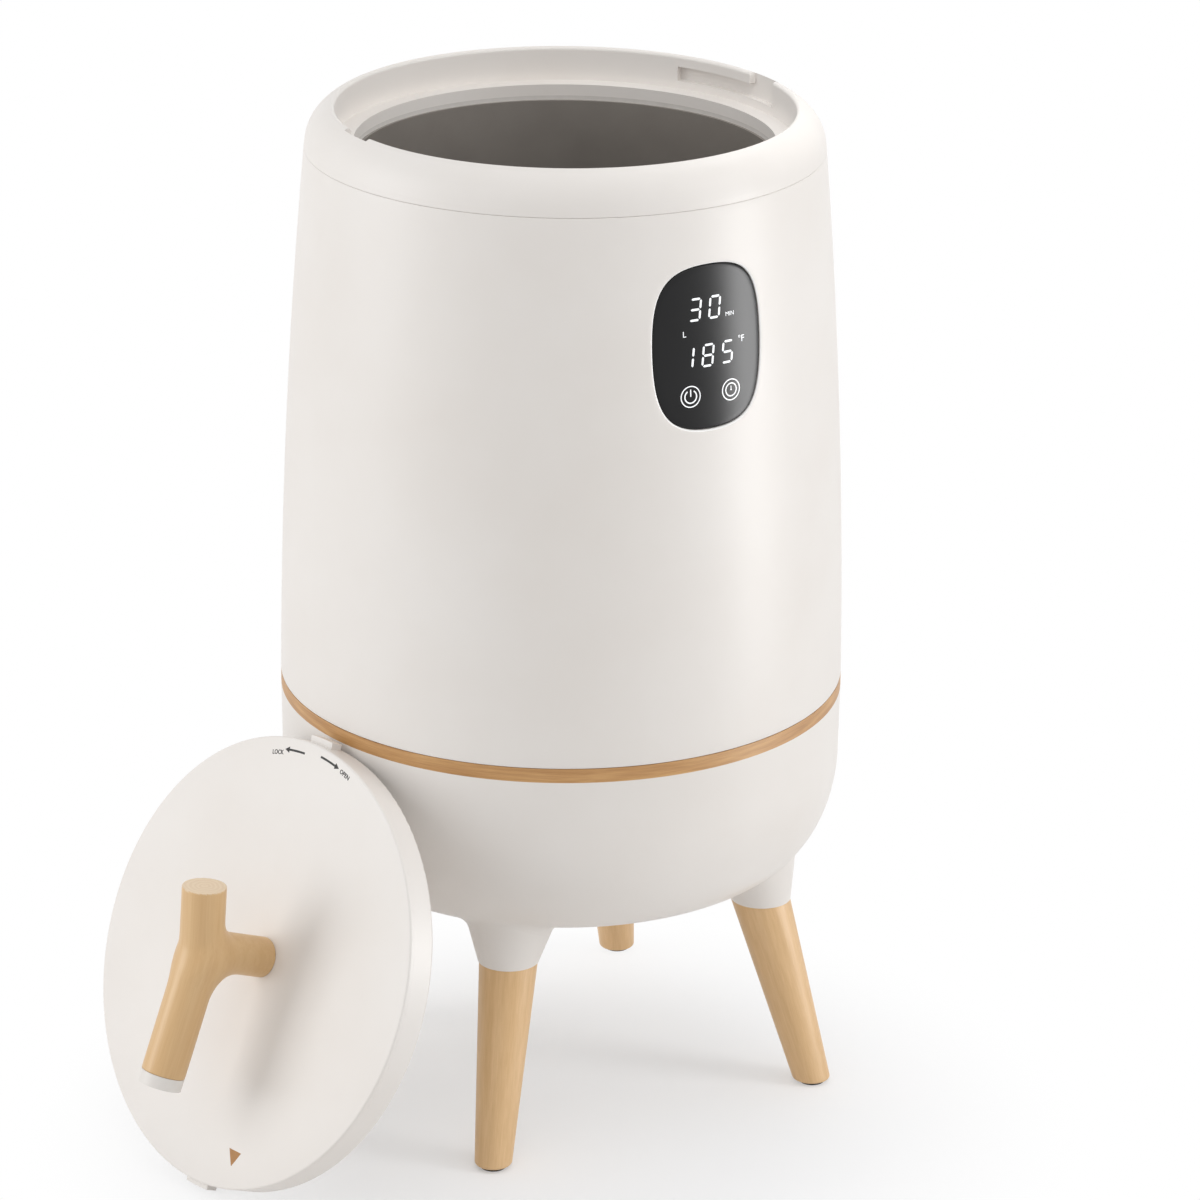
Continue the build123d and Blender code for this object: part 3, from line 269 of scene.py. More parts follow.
# ---------------------------------------------------------------- screws, studs and springs
# Bright zinc-plated steel throughout: pan-head screws in the plastic bosses, the leg studs, the
# handle's bolt and washer, and the two wire springs that touch the back of the lens.
screw_steel = surface_finish(
    "screw_steel", srgb(186, 187, 190), srgb(200, 200, 202),
    patch=0.003, gloss=(0.26, 0.38), pore=0.0004, depth=0.00001, Metallic=1.0,
)
for holder in ("base", "board", "chassis", "display", "lid", "pot", "shell"):
    dress(screw_steel, holder + "_screws")
dress(screw_steel, "handle_bolt", "handle_washer", "leg_studs", "touch_spring_left", "touch_spring_right")


# ---------------------------------------------------------------- body shell
# Tapered injection-moulded wall in warm white ABS with a fine satin skin, between the rim ring
# and the bowl. The panel window is cut in its front, with a small chamfer round it that is
# painted near-white as a highlight.
WALL_STATIONS = ((0.160, 0.2467), (0.1561, 0.380), (0.144, 0.5527))
BAND_RADIUS = WALL_STATIONS[0][0]
SEAM_GAP, EDGE_ROUND = 0.0002, 0.0005
WALL_LOW, WALL_TOP = WALL_STATIONS[0][1], WALL_STATIONS[2][1] - SEAM_GAP
WALL_THICKNESS = 0.0026
WALL_COLUMNS, WALL_ROWS = 240, 64

PANEL_HEIGHT = 0.4776
PANEL_HALF_WIDTH, PANEL_HALF_HEIGHT = 0.0338, 0.0449
PANEL_BOW, BOW_SAMPLES = 0.766, 400
WINDOW_GAP = 0.00025
WINDOW_CHAMFER = ((0.00090, 0.0), (0.00080, 0.00003), (0.00008, 0.00055), (0.0, 0.00075))
PATCH_COLUMNS, PATCH_MARGIN, PATCH_LOOPS = 14, 0.013, 7


def circle_through(stations):
    """Centre and radius of the circle through three points of a section."""
    (ax, ay), (bx, by), (cx, cy) = stations
    bx, by, cx, cy = bx - ax, by - ay, cx - ax, cy - ay
    cross = 2 * (bx * cy - by * cx)
    along = (cy * (bx * bx + by * by) - by * (cx * cx + cy * cy)) / cross
    height = (bx * (cx * cx + cy * cy) - cx * (bx * bx + by * by)) / cross
    return ax + along, ay + height, math.hypot(along, height)


outline_r, outline_z, outline_arc = circle_through(WALL_STATIONS)


def wall_radius(height):
    """Outer radius of the body wall at a height."""
    return outline_r + math.sqrt(outline_arc**2 - (height - outline_z) ** 2)


def bow_reach(turn):
    """How far the panel's bowed outline reaches at a turn, for half sides of one."""
    t = np.linspace(0.0, 1.0, BOW_SAMPLES)
    across = (1 - t) ** 3 + 3 * (1 - t) ** 2 * t + 3 * (1 - t) * t**2 * PANEL_BOW
    up = across[::-1]
    quarter = abs(math.remainder(turn, math.pi))
    return float(np.interp(quarter, np.arctan2(up, across), np.hypot(across, up)))


def panel_outline(turn, grow):
    """Point of the panel's outline at a turn round its centre, moved out by grow."""

    def at(angle):
        reach = bow_reach(angle)
        across = PANEL_HALF_WIDTH * reach * math.cos(angle)
        return Vector((across, PANEL_HALF_HEIGHT * reach * math.sin(angle)))

    nudge = 0.01
    step = at(turn + nudge) - at(turn - nudge)
    return at(turn) + grow * Vector((step.y, -step.x)).normalized()


def panel_point(across, up, sink):
    """Point of the wall in front of the panel's plane, sunk straight back by sink."""
    height = PANEL_HEIGHT + up
    return Vector((across, -math.sqrt(wall_radius(height) ** 2 - across**2) + sink, height))


def link_loops(form, loop, after, finish_index=0):
    """Skin two closed loops of the same count."""
    for index in range(len(loop)):
        nxt = (index + 1) % len(loop)
        face = form.faces.new((loop[index], loop[nxt], after[nxt], after[index]))
        face.material_index = finish_index


def finish_piece(form, name, body, finishes, replaced=(), crease=35):
    """Close a mesh as one named piece, set its creases, finish and body."""
    bmesh.ops.recalc_face_normals(form, faces=form.faces)
    mesh = bpy.data.meshes.new(name)
    form.to_mesh(mesh)
    form.free()
    mesh.shade_smooth()
    mesh.set_sharp_from_angle(angle=math.radians(crease))
    for finish in finishes:
        mesh.materials.append(finish)
    piece = bpy.data.objects.new(name, mesh)
    bpy.context.collection.objects.link(piece)
    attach(piece, body)
    if replaced:
        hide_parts(*replaced)
    return piece


def side_of_panel(column):
    """Columns of the wall counted from the middle of the panel, rightwards above zero."""
    return (column + WALL_COLUMNS // 2) % WALL_COLUMNS - WALL_COLUMNS // 2


def wall_skin(form, sink, low_rows, top_rows, window_steps):
    """One skin of the wall with its window. A patch of the grid of rows and columns is left out
    round the window, and loops fill it from the patch's edge inwards to the window's own edge.
    Returns the skin's low loop, top loop and window loop."""
    heights = np.linspace(WALL_LOW + EDGE_ROUND, WALL_TOP - EDGE_ROUND, WALL_ROWS)
    rows = low_rows + [(sink, float(z)) for z in heights] + top_rows
    reach = PANEL_HALF_HEIGHT + PATCH_MARGIN
    inside = [i for i, (_, z) in enumerate(rows) if abs(z - PANEL_HEIGHT) < reach]
    first, last = inside[0], inside[-1]
    grid = {}
    for i, (inset, z) in enumerate(rows):
        for j in range(WALL_COLUMNS):
            side = side_of_panel(j)
            if not (first < i < last and abs(side) < PATCH_COLUMNS):
                grid[i, j] = form.verts.new(turned(side * 360 / WALL_COLUMNS, wall_radius(z) - inset, z))
    for i in range(len(rows) - 1):
        for j in range(WALL_COLUMNS):
            k = (j + 1) % WALL_COLUMNS
            if not (first <= i < last and -PATCH_COLUMNS <= side_of_panel(j) < PATCH_COLUMNS):
                form.faces.new((grid[i, j], grid[i, k], grid[i + 1, k], grid[i + 1, j]))

    edge = [(last, s) for s in range(PATCH_COLUMNS, -PATCH_COLUMNS, -1)]
    edge += [(i, -PATCH_COLUMNS) for i in range(last, first, -1)]
    edge += [(first, s) for s in range(-PATCH_COLUMNS, PATCH_COLUMNS)]
    edge += [(i, PATCH_COLUMNS) for i in range(first, last)]
    frame_loop = [grid[i, s % WALL_COLUMNS] for i, s in edge]
    turns = [
        math.atan2((corner.co.z - PANEL_HEIGHT) / PANEL_HALF_HEIGHT, corner.co.x / PANEL_HALF_WIDTH)
        for corner in frame_loop
    ]
    before = frame_loop
    widest, deepest = window_steps[0]
    for step in range(1, PATCH_LOOPS + 1):
        share = step / PATCH_LOOPS
        loop = []
        for turn, corner in zip(turns, frame_loop):
            hem = panel_outline(turn, WINDOW_GAP + widest)
            across = corner.co.x + (hem.x - corner.co.x) * share
            up = corner.co.z - PANEL_HEIGHT + (hem.y - corner.co.z + PANEL_HEIGHT) * share
            loop.append(form.verts.new(panel_point(across, up, sink + deepest)))
        link_loops(form, before, loop)
        before = loop
    # the chamfer loops take the second finish, the painted highlight
    for grow, depth in window_steps[1:]:
        loop = []
        for turn in turns:
            hem = panel_outline(turn, WINDOW_GAP + grow)
            loop.append(form.verts.new(panel_point(hem.x, hem.y, sink + depth)))
        link_loops(form, before, loop, finish_index=1)
        before = loop
    low_loop = [grid[0, j] for j in range(WALL_COLUMNS)]
    top_loop = [grid[len(rows) - 1, j] for j in range(WALL_COLUMNS)]
    return low_loop, top_loop, before


def round_steps(radius, count=5):
    """Quarter round from a face to its edge: how far off the edge, and how deep, at each step."""
    turns = [math.radians(90 * i / (count - 1)) for i in range(count)]
    return [(radius * (1 - math.sin(turn)), radius * (1 - math.cos(turn))) for turn in turns]


shell_white = surface_finish(
    "shell_white", srgb(231, 226, 221), srgb(235, 231, 227),
    patch=0.09, gloss=(0.39, 0.45), pore=0.0011, depth=0.00001, Specular_IOR_Level=0.36,
)
# painted highlight: the window's chamfer takes this near-white colour, brighter than the wall's own
# white, so that it reads as a lit edge
painted_highlight_white = surface_finish(
    "painted_highlight_white", srgb(250, 249, 247), srgb(252, 251, 250),
    patch=0.02, gloss=(0.28, 0.34), pore=0.0011, depth=0.00001,
)
wall = bmesh.new()
low_rows = [(depth, WALL_LOW + off) for off, depth in round_steps(EDGE_ROUND)[:0:-1]]
top_rows = [(depth, WALL_TOP - off) for off, depth in round_steps(EDGE_ROUND)[1:]]
outer = wall_skin(wall, 0.0, low_rows, top_rows, WINDOW_CHAMFER)
inner_ends = [(WALL_THICKNESS, WALL_LOW)], [(WALL_THICKNESS, WALL_TOP)]
inner = wall_skin(wall, WALL_THICKNESS, *inner_ends, [(0.0, 0.0)])
for outer_loop, inner_loop in zip(outer, inner):
    link_loops(wall, outer_loop, inner_loop)
finish_piece(wall, "shell_wall", "bucket", (shell_white, painted_highlight_white), ("body_shell",))


# ---------------------------------------------------------------- rim ring, bowl and base cover
# Moulded in the same white ABS as the wall. The ring closes the top and holds the lid's seat,
# the bowl below carries the four leg sockets, and the vented cover is screwed up under it.
dress(shell_white, "rim_ring", "lower_shell", "base_cover")


# ---------------------------------------------------------------- display housing, boards and cable
# Black housing behind the window with a green board in it, two black digit modules on the board,
# and a grey ribbon cable that runs down behind the wall to the power board.
dress(black_plastic, "display_housing")
dress(board_green, "display_board")

digit_black = surface_finish(
    "digit_black", srgb(24, 24, 26), srgb(30, 30, 32),
    patch=0.006, gloss=(0.15, 0.25), pore=0.001, depth=0.00001,
)
dress(digit_black, "temperature_digit_module", "time_digit_module")

ribbon_grey = surface_finish(
    "ribbon_grey", srgb(172, 172, 176), srgb(198, 198, 202),
    patch=0.0012, gloss=(0.45, 0.55), pore=0.0006, depth=0.00002, stretch=(8, 1, 1),
)
dress(ribbon_grey, "display_cable")


# ---------------------------------------------------------------- control lens
# Smoked acrylic lens, curved like the wall and set in the window against a black rubber seal.
# Its front edge is rounded, and the display and the two touch keys shine through it.
LENS_SINK, LENS_THICKNESS, LENS_ROUND = 0.0002, 0.0024, 0.0014
LENS_COLUMNS, LENS_LOOPS = 144, 16

lens_smoke = surface_finish(
    "lens_smoke", srgb(12, 12, 14), srgb(15, 15, 17),
    patch=0.02, gloss=(0.27, 0.29), pore=0.02, depth=0.000001, Specular_IOR_Level=0.30,
)
lens = bmesh.new()
turns = [2 * math.pi * index / LENS_COLUMNS for index in range(LENS_COLUMNS)]
for side, edge_round, sink in ((1, LENS_ROUND, LENS_SINK), (-1, 0.0, LENS_SINK + LENS_THICKNESS)):
    middle = lens.verts.new(panel_point(0.0, 0.0, sink))
    loops = []
    for step in range(1, LENS_LOOPS + 1):
        hems = [panel_outline(turn, -edge_round) * (step / LENS_LOOPS) for turn in turns]
        loops.append([lens.verts.new(panel_point(hem.x, hem.y, sink)) for hem in hems])
    for off, depth in round_steps(edge_round)[1:] if edge_round else []:
        hems = [panel_outline(turn, -off) for turn in turns]
        loops.append([lens.verts.new(panel_point(hem.x, hem.y, sink + depth)) for hem in hems])
    for index in range(LENS_COLUMNS):
        lens.faces.new((middle, loops[0][index], loops[0][(index + 1) % LENS_COLUMNS]))
    for loop, after in zip(loops, loops[1:]):
        link_loops(lens, loop, after)
    if side > 0:
        front_edge = loops[-1]
link_loops(lens, front_edge, loops[-1])
finish_piece(lens, "lens_window", "bucket", (lens_smoke,), ("control_lens",))

black_rubber = surface_finish(
    "black_rubber", srgb(38, 38, 38), srgb(46, 46, 46),
    patch=0.004, gloss=(0.7, 0.85), pore=0.0004, depth=0.00003,
)
dress(black_rubber, "lens_seal")


# ---------------------------------------------------------------- display and touch keys
# White light from the two digit modules and from behind the key symbols. Each digit has seven
# slanted bars, and both keys are circles with a symbol inside, flush in the front of the lens.
MARK_LIFT, MARK_DEPTH = 0.00005, 0.0003
CAPITAL_SHARE = 0.7

DIGIT_REACH, DIGIT_RISE, DIGIT_SLANT = 0.0031, 0.0057, math.tan(math.radians(6.5))
BAR_WIDTH, BAR_GAP, BAR_TAPER, BAR_TIP = 0.0012, 0.00050, 0.46, 0.16
BAR_ENDS = {
    "a": ((-1, 1), (1, 1)), "b": ((1, 1), (1, 0)), "c": ((1, 0), (1, -1)), "d": ((-1, -1), (1, -1)),
    "e": ((-1, 0), (-1, -1)), "f": ((-1, 1), (-1, 0)), "g": ((-1, 0), (1, 0)),
}
DIGIT_BARS = {"0": "abcdef", "1": "bc", "3": "abcdg", "5": "acdfg", "8": "abcdefg"}
TIME_HEIGHT, TEMPERATURE_HEIGHT = 0.49905, 0.4733

KEY_HEIGHT, KEY_OFFSET, KEY_RING, KEY_SYMBOL = 0.4520, 0.0128, 0.0057, 0.0035
KEY_LINE = 0.0006
POWER_LINE, TIMER_LINE, POWER_BAR_HALF = KEY_LINE * 1.2, KEY_LINE * 1.1, KEY_LINE * 0.55
POWER_OPENING, POWER_BAR_RISE = 64.0, 0.0005
HAND_REACH, HAND_FOOT, HAND_HALF = 0.6, 0.0004, 0.00022
HUB_RADIUS, HUB_LINE = 0.00025, 0.00045
RING_POINTS, OPEN_RING_POINTS = 60, 49


def add_ribbon(form, path, half_widths, place, closed=False):
    """Thin bar along a path of flat points, as wide at each as its half width doubled. Place
    puts a flat point and a lift on the surface that carries the bar."""
    count = len(path)
    rings = []
    for index, (point, half) in enumerate(zip(path, half_widths)):
        after = path[(index + 1) % count] if closed or index + 1 < count else point
        before = path[index - 1] if closed or index else point
        step = (Vector(after) - Vector(before)).normalized()
        side = Vector((-step.y, step.x)) * half
        corners = ((side, MARK_LIFT), (-side, MARK_LIFT), (-side, -MARK_DEPTH), (side, -MARK_DEPTH))
        rings.append([form.verts.new(place(*(Vector(point) + off), lift)) for off, lift in corners])
    for index in range(count if closed else count - 1):
        link_loops(form, rings[index], rings[(index + 1) % count])
    if not closed:
        form.faces.new(rings[0])
        form.faces.new(rings[-1])


def arc_path(centre, radius, start, end, count):
    """Points of an arc. Angles are in degrees from straight up, clockwise."""
    angles = [math.radians(start + (end - start) * index / (count - 1)) for index in range(count)]
    return [(centre[0] + radius * math.sin(a), centre[1] + radius * math.cos(a)) for a in angles]


def on_lens(across, height, lift):
    """Point in front of the lens."""
    return panel_point(across, height - PANEL_HEIGHT, LENS_SINK - lift)


def add_digit(form, digit, across, height):
    """One lit seven-bar digit. Each bar is drawn in at both ends, to stay clear of the next."""
    for bar in DIGIT_BARS[digit]:
        start, end = (Vector((x * DIGIT_REACH, y * DIGIT_RISE)) for x, y in BAR_ENDS[bar])
        along = (end - start).normalized()
        tip, shoulder = along * BAR_GAP, along * (BAR_GAP + BAR_WIDTH * BAR_TAPER)
        path = [start + tip, start + shoulder, end - shoulder, end - tip]
        path = [(across + p.x + p.y * DIGIT_SLANT, height + p.y) for p in path]
        half = BAR_WIDTH / 2
        add_ribbon(form, path, (half * BAR_TIP, half, half, half * BAR_TIP), on_lens)


def add_lettering(form, words, tall, place, swell=0.0):
    """Raised words in plain upright letters, as tall as given, centred on the carrier's origin.
    Swell is how far the strokes are thickened on each side. The extrusion only tells the front
    of a letter from its back, which are then put at the lift and the depth of a mark."""
    sketch = bpy.data.curves.new("lettering", "FONT")
    sketch.body, sketch.align_x, sketch.align_y = words, "CENTER", "CENTER"
    sketch.size = tall / CAPITAL_SHARE
    sketch.offset = swell
    sketch.extrude = 1.0
    sketch.resolution_u = 3
    holder = bpy.data.objects.new("lettering", sketch)
    letters = bpy.data.meshes.new_from_object(holder)
    for vertex in letters.vertices:
        x, y, side = vertex.co
        vertex.co = place(x, y, MARK_LIFT if side > 0 else -MARK_DEPTH)
    form.from_mesh(letters)
    bmesh.ops.remove_doubles(form, verts=form.verts, dist=1e-7)
    bpy.data.objects.remove(holder)
    bpy.data.meshes.remove(letters)
    bpy.data.curves.remove(sketch)


display_light = surface_finish(
    "display_light", srgb(238, 240, 242), srgb(244, 246, 248),
    patch=0.01, gloss=(0.3, 0.4), pore=0.001, depth=0.000001,
    Emission_Color=srgb(240, 243, 246), Emission_Strength=0.35,
)

for name, digits, height, places in (
    ("time_digits", "30", TIME_HEIGHT, (-0.00895, 0.0032)),
    ("temperature_digits", "185", TEMPERATURE_HEIGHT, (-0.0140, -0.00165, 0.0109)),
):
    lit = bmesh.new()
    for digit, across in zip(digits, places):
        add_digit(lit, digit, across, height)
    finish_piece(lit, name, "bucket", (display_light,))

for name, words, across, height, tall in (
    ("minutes_word", "MIN", 0.0129, 0.49375, 0.0023),
    ("level_letter", "L", -0.0158, 0.48625, 0.0032),
    ("degree_mark", "°F", 0.0203, 0.47865, 0.0036),
):
    lit = bmesh.new()
    add_lettering(lit, words, tall, lambda x, y, lift: on_lens(across + x, height + y, lift))
    finish_piece(lit, name, "bucket", (display_light,))


def add_ring(form, centre, radius, line, gap=0.0):
    """Circle of a key, left open at its top over a gap in degrees."""
    if gap:
        path = arc_path(centre, radius, gap / 2, 360 - gap / 2, OPEN_RING_POINTS)
    else:
        path = arc_path(centre, radius, 0, 360 - 360 / RING_POINTS, RING_POINTS)
    add_ribbon(form, path, [line / 2] * len(path), on_lens, closed=not gap)


power_key = bmesh.new()
power_place = (-KEY_OFFSET, KEY_HEIGHT)
add_ring(power_key, power_place, KEY_RING, KEY_LINE)
add_ring(power_key, power_place, KEY_SYMBOL, POWER_LINE, gap=POWER_OPENING)
bar_top = (-KEY_OFFSET, KEY_HEIGHT + KEY_SYMBOL + POWER_BAR_RISE)
add_ribbon(power_key, [bar_top, power_place], [POWER_BAR_HALF] * 2, on_lens)
finish_piece(power_key, "power_symbol", "bucket", (display_light,))

timer_key = bmesh.new()
timer_place = (KEY_OFFSET, KEY_HEIGHT)
add_ring(timer_key, timer_place, KEY_RING, KEY_LINE)
add_ring(timer_key, timer_place, KEY_SYMBOL, TIMER_LINE)
hand_tip = (KEY_OFFSET, KEY_HEIGHT + KEY_SYMBOL * HAND_REACH)
hand_foot = (KEY_OFFSET, KEY_HEIGHT + HAND_FOOT)
add_ribbon(timer_key, [hand_tip, hand_foot], [HAND_HALF] * 2, on_lens)
add_ring(timer_key, timer_place, HUB_RADIUS, HUB_LINE)
finish_piece(timer_key, "timer_symbol", "bucket", (display_light,))


# ---------------------------------------------------------------- lid
# Round moulded lid: a flat face plate on a skirt with two bayonet lugs, a liner and a gasket
# below, and felt in between. The plate sits tight on the skirt, and its front edge is rounded.
LID_BEARING, LID_LEAN = -80.4, math.radians(22.5)
FACE_LIFT, FACE_RADIUS, FACE_THICKNESS, FACE_ROUND = 0.0175, 0.126, 0.00295, 0.0012
FACE_HUB, FACE_COLUMNS, FACE_RINGS = 0.02, 192, 6
LUG_REACH, LUG_LOW = 0.1296, 0.005
WALL_CLEARANCE, FLOOR_CLEARANCE = 0.0005, 0.0003

lid_across = turned(LID_BEARING + 90, 1.0, 0.0)
lid_out = turned(LID_BEARING, math.cos(LID_LEAN), math.sin(LID_LEAN))
lid_up = lid_out.cross(lid_across)
lid_base = turned(
    LID_BEARING,
    BAND_RADIUS + WALL_CLEARANCE + FACE_RADIUS * math.sin(LID_LEAN),
    LUG_REACH * math.cos(LID_LEAN) - LUG_LOW * math.sin(LID_LEAN) + FLOOR_CLEARANCE,
)


def on_lid(across, up, lift):
    """Point on the lid's face, from its centre."""
    return lid_base + lid_across * across + lid_up * up + lid_out * (FACE_LIFT + lift)


def add_disc(form, rings, columns):
    """Closed disc on the lid's axis from rings of radius and lift, first and last at its middle."""
    (_, first), *edges, (_, last) = rings
    turns = [2 * math.pi * index / columns for index in range(columns)]
    loops = []
    for radius, lift in edges:
        places = [on_lid(radius * math.sin(t), radius * math.cos(t), lift) for t in turns]
        loops.append([form.verts.new(place) for place in places])
    for loop, after in zip(loops, loops[1:]):
        link_loops(form, loop, after)
    for loop, lift in ((loops[0], first), (loops[-1], last)):
        middle = form.verts.new(on_lid(0.0, 0.0, lift))
        for index in range(columns):
            form.faces.new((middle, loop[index], loop[(index + 1) % columns]))


plate = bmesh.new()
flat_rings = np.linspace(FACE_HUB, FACE_RADIUS - FACE_ROUND, FACE_RINGS)
rings = [(0.0, 0.0)] + [(radius, 0.0) for radius in flat_rings]
rings += [(FACE_RADIUS - off, -depth) for off, depth in round_steps(FACE_ROUND)[1:]]
rings += [(radius, -FACE_THICKNESS) for radius in (FACE_RADIUS, FACE_HUB, 0.0)]
add_disc(plate, rings, FACE_COLUMNS)
finish_piece(plate, "lid_face_plate", "lid", (shell_white,), ("lid_face",))

dress(shell_white, "lid_skirt", "lid_face", "lid_liner")
dress(grey_silicone, "lid_gasket")
dress(felt, "lid_insulation")


# ---------------------------------------------------------------- lid markings
# Fine print on the lid's face by the upper lug, in dark grey, that says which way to turn the
# lid to lock and to open it, and a wood-coloured pointer by the lower edge.
WORD_TALL, WORD_SWELL = 0.0024, 0.00009
LOCK_TURN, LOCK_RADIUS = -14.9, 0.1170
OPEN_TURN, OPEN_RADIUS = 13.0, 0.1205
LOCK_ARROW_TURNS, LOCK_ARROW_RADIUS = (-4.2, -12.1), 0.119
OPEN_ARROW_TURNS, OPEN_ARROW_RADIUS = (2.2, 10.1), 0.121
ARROW_LINE, ARROW_HEAD, ARROW_TIP = 0.00060, 0.0017, 0.00006
ARROW_POINTS, SHAFT_POINTS, HEAD_SHARES, HEAD_JOIN = 15, 10, (1.0, 0.7, 0.35), 0.98
POINTER_BASE, POINTER_TIP = (0.0324, -0.0993), (0.0327, -0.1080)
POINTER_HALF, POINTER_TIP_HALF = 0.0051, 0.0002


def round_the_lid(turn, radius):
    """Carrier for words that follow the lid's edge, at a turn in degrees from its top."""
    angle = math.radians(turn)

    def place(x, y, lift):
        sweep, reach = angle + x / radius, radius + y
        return on_lid(reach * math.sin(sweep), reach * math.cos(sweep), lift)

    return place


print_grey = surface_finish(
    "print_grey", srgb(22, 21, 21), srgb(30, 29, 28),
    patch=0.01, gloss=(0.5, 0.6), pore=0.001, depth=0.000001,
)
for name, words, turn, radius in (
    ("lock_word", "LOCK", LOCK_TURN, LOCK_RADIUS),
    ("open_word", "OPEN", OPEN_TURN, OPEN_RADIUS),
):
    mark = bmesh.new()
    add_lettering(mark, words, WORD_TALL, round_the_lid(turn, radius), WORD_SWELL)
    finish_piece(mark, name, "lid", (print_grey,))

head_widths = [ARROW_HEAD * share for share in HEAD_SHARES] + [ARROW_TIP]
for name, (tail, head), radius in (
    ("lock_arrow", LOCK_ARROW_TURNS, LOCK_ARROW_RADIUS),
    ("open_arrow", OPEN_ARROW_TURNS, OPEN_ARROW_RADIUS),
):
    mark = bmesh.new()
    path = arc_path((0, 0), radius, tail, head, ARROW_POINTS)
    # the shaft's last point is moved up against the head, so that the head starts square
    shaft_end, head_start = path[SHAFT_POINTS - 1], path[SHAFT_POINTS + 1]
    pairs = zip(head_start, shaft_end)
    path[SHAFT_POINTS] = tuple(HEAD_JOIN * a + (1 - HEAD_JOIN) * b for a, b in pairs)
    add_ribbon(mark, path, [ARROW_LINE] * (SHAFT_POINTS + 1) + head_widths, on_lid)
    finish_piece(mark, name, "lid", (print_grey,))

pointer_brown = surface_finish(
    "pointer_brown", srgb(166, 118, 66), srgb(174, 126, 73),
    patch=0.004, gloss=(0.5, 0.6), pore=0.001, depth=0.000001,
)
pointer = bmesh.new()
add_ribbon(pointer, [POINTER_BASE, POINTER_TIP], [POINTER_HALF, POINTER_TIP_HALF], on_lid)
finish_piece(pointer, "lid_pointer", "lid", (pointer_brown,))


# ---------------------------------------------------------------- branch handle
# A short forked branch, peeled, sanded and oiled. Its side branch stands on the lid and is held
# by the bolt from inside, and the main branch is sawn off at the top and capped at the bottom.
BRANCH_RADIUS, SIDE_RADIUS = 0.0123, 0.0113
BRANCH_STANDOFF, BRANCH_DROP, BRANCH_RISE = 0.045, 0.072, 0.037
BRANCH_BEND, BEND_RADIUS, BEND_POINTS = math.radians(18), 0.060, 19
FORK_BLEND_ABOVE, FORK_BLEND_BELOW, BLEND_CHANGE = 0.009, 0.018, 0.003
SAW_ROUND, SAWN_DEPTH = 0.0007, 0.0004
STICK_SIDES, STICK_OVERLAP, SHAVING = 48, 1.002, 0.0009
SANDING_ROUNDS, SANDING_PROBE, LEAST_SLOPE = 12, 1e-5, 0.25
BRANCH_FOOT = (0.007, 0.005)

tangent = BEND_RADIUS * math.tan(BRANCH_BEND / 2)
bend_turns = np.linspace(0.0, BRANCH_BEND, BEND_POINTS)
axis_points = np.vstack(
    [
        [[-BRANCH_DROP, 0.0]],
        np.column_stack(
            [BEND_RADIUS * np.sin(bend_turns) - tangent, BEND_RADIUS * (1 - np.cos(bend_turns))]
        ),
        [[BRANCH_RISE * math.cos(BRANCH_BEND), BRANCH_RISE * math.sin(BRANCH_BEND)]],
    ]
)


def along_branch(points):
    """For points (up the branch, out from the lid, across): distance from the main branch's axis,
    length along that axis, and the way out from it in the plane of the fork."""
    starts, ends = axis_points[:-1], axis_points[1:]
    steps = ends - starts
    lengths = np.linalg.norm(steps, axis=1)
    heads = steps / lengths[:, None]
    offsets = points[:, None, :2] - starts[None]
    travel = (offsets * heads[None]).sum(2)
    held = np.clip(travel, 0.0, lengths[None])
    held[:, 0] = np.minimum(travel[:, 0], lengths[0])
    held[:, -1] = np.maximum(travel[:, -1], 0.0)
    gaps = offsets - held[..., None] * heads[None]
    nearest = np.argmin((gaps**2).sum(2), axis=1)
    row = np.arange(len(points))
    before = np.concatenate([[0.0], np.cumsum(lengths)[:-1]])
    gap = gaps[row, nearest]
    head = heads[nearest]
    outward = gap[:, 1] * head[:, 0] - gap[:, 0] * head[:, 1]
    return np.hypot(outward, points[:, 2]), before[nearest] + held[row, nearest], outward


branch_length = float(np.linalg.norm(np.diff(axis_points, axis=0), axis=1).sum())


def cut_round(inside, beyond, blend):
    """Distance to a body cut by a face, with a small round on the edge."""
    first, second = inside + blend, beyond + blend
    outside = np.hypot(np.maximum(first, 0.0), np.maximum(second, 0.0))
    return outside + np.minimum(np.maximum(first, second), 0.0) - blend


def branch_distance(points):
    """Signed distance to the fork's bark, negative inside."""
    reach, length, _ = along_branch(points)
    stem = cut_round(reach - BRANCH_RADIUS, np.maximum(-length, length - branch_length), SAW_ROUND)
    side = cut_round(
        np.hypot(points[:, 0], points[:, 2]) - SIDE_RADIUS,
        np.maximum(-BRANCH_STANDOFF - points[:, 1], points[:, 1]),
        SAW_ROUND,
    )
    above = 1 / (1 + np.exp(-points[:, 0] / BLEND_CHANGE))
    blend = FORK_BLEND_BELOW + (FORK_BLEND_ABOVE - FORK_BLEND_BELOW) * above
    mix = np.maximum(blend - np.abs(stem - side), 0.0) / blend
    return np.minimum(stem, side) - mix * mix * blend / 4


# sticks laid along both limbs, made one skin and then sanded down to the bark's own surface
fork = bmesh.new()
sticks = [(start, end, BRANCH_RADIUS) for start, end in zip(axis_points, axis_points[1:])]
sticks.append(((0.0, -BRANCH_STANDOFF), (0.0, 0.0), SIDE_RADIUS))
for start, end, radius in sticks:
    start, end = Vector((*start, 0.0)), Vector((*end, 0.0))
    turn = Vector((0, 0, 1)).rotation_difference(end - start).to_matrix().to_4x4()
    bmesh.ops.create_cone(
        fork, cap_ends=True, segments=STICK_SIDES, radius1=radius, radius2=radius,
        depth=(end - start).length * STICK_OVERLAP, matrix=Matrix.Translation((start + end) / 2) @ turn,
    )
rough = bpy.data.meshes.new("fork_rough")
fork.to_mesh(rough)
fork.free()
whittled = bpy.data.objects.new("fork_rough", rough)
bpy.context.collection.objects.link(whittled)
shave = whittled.modifiers.new("shave", "REMESH")
shave.mode, shave.voxel_size = "VOXEL", SHAVING
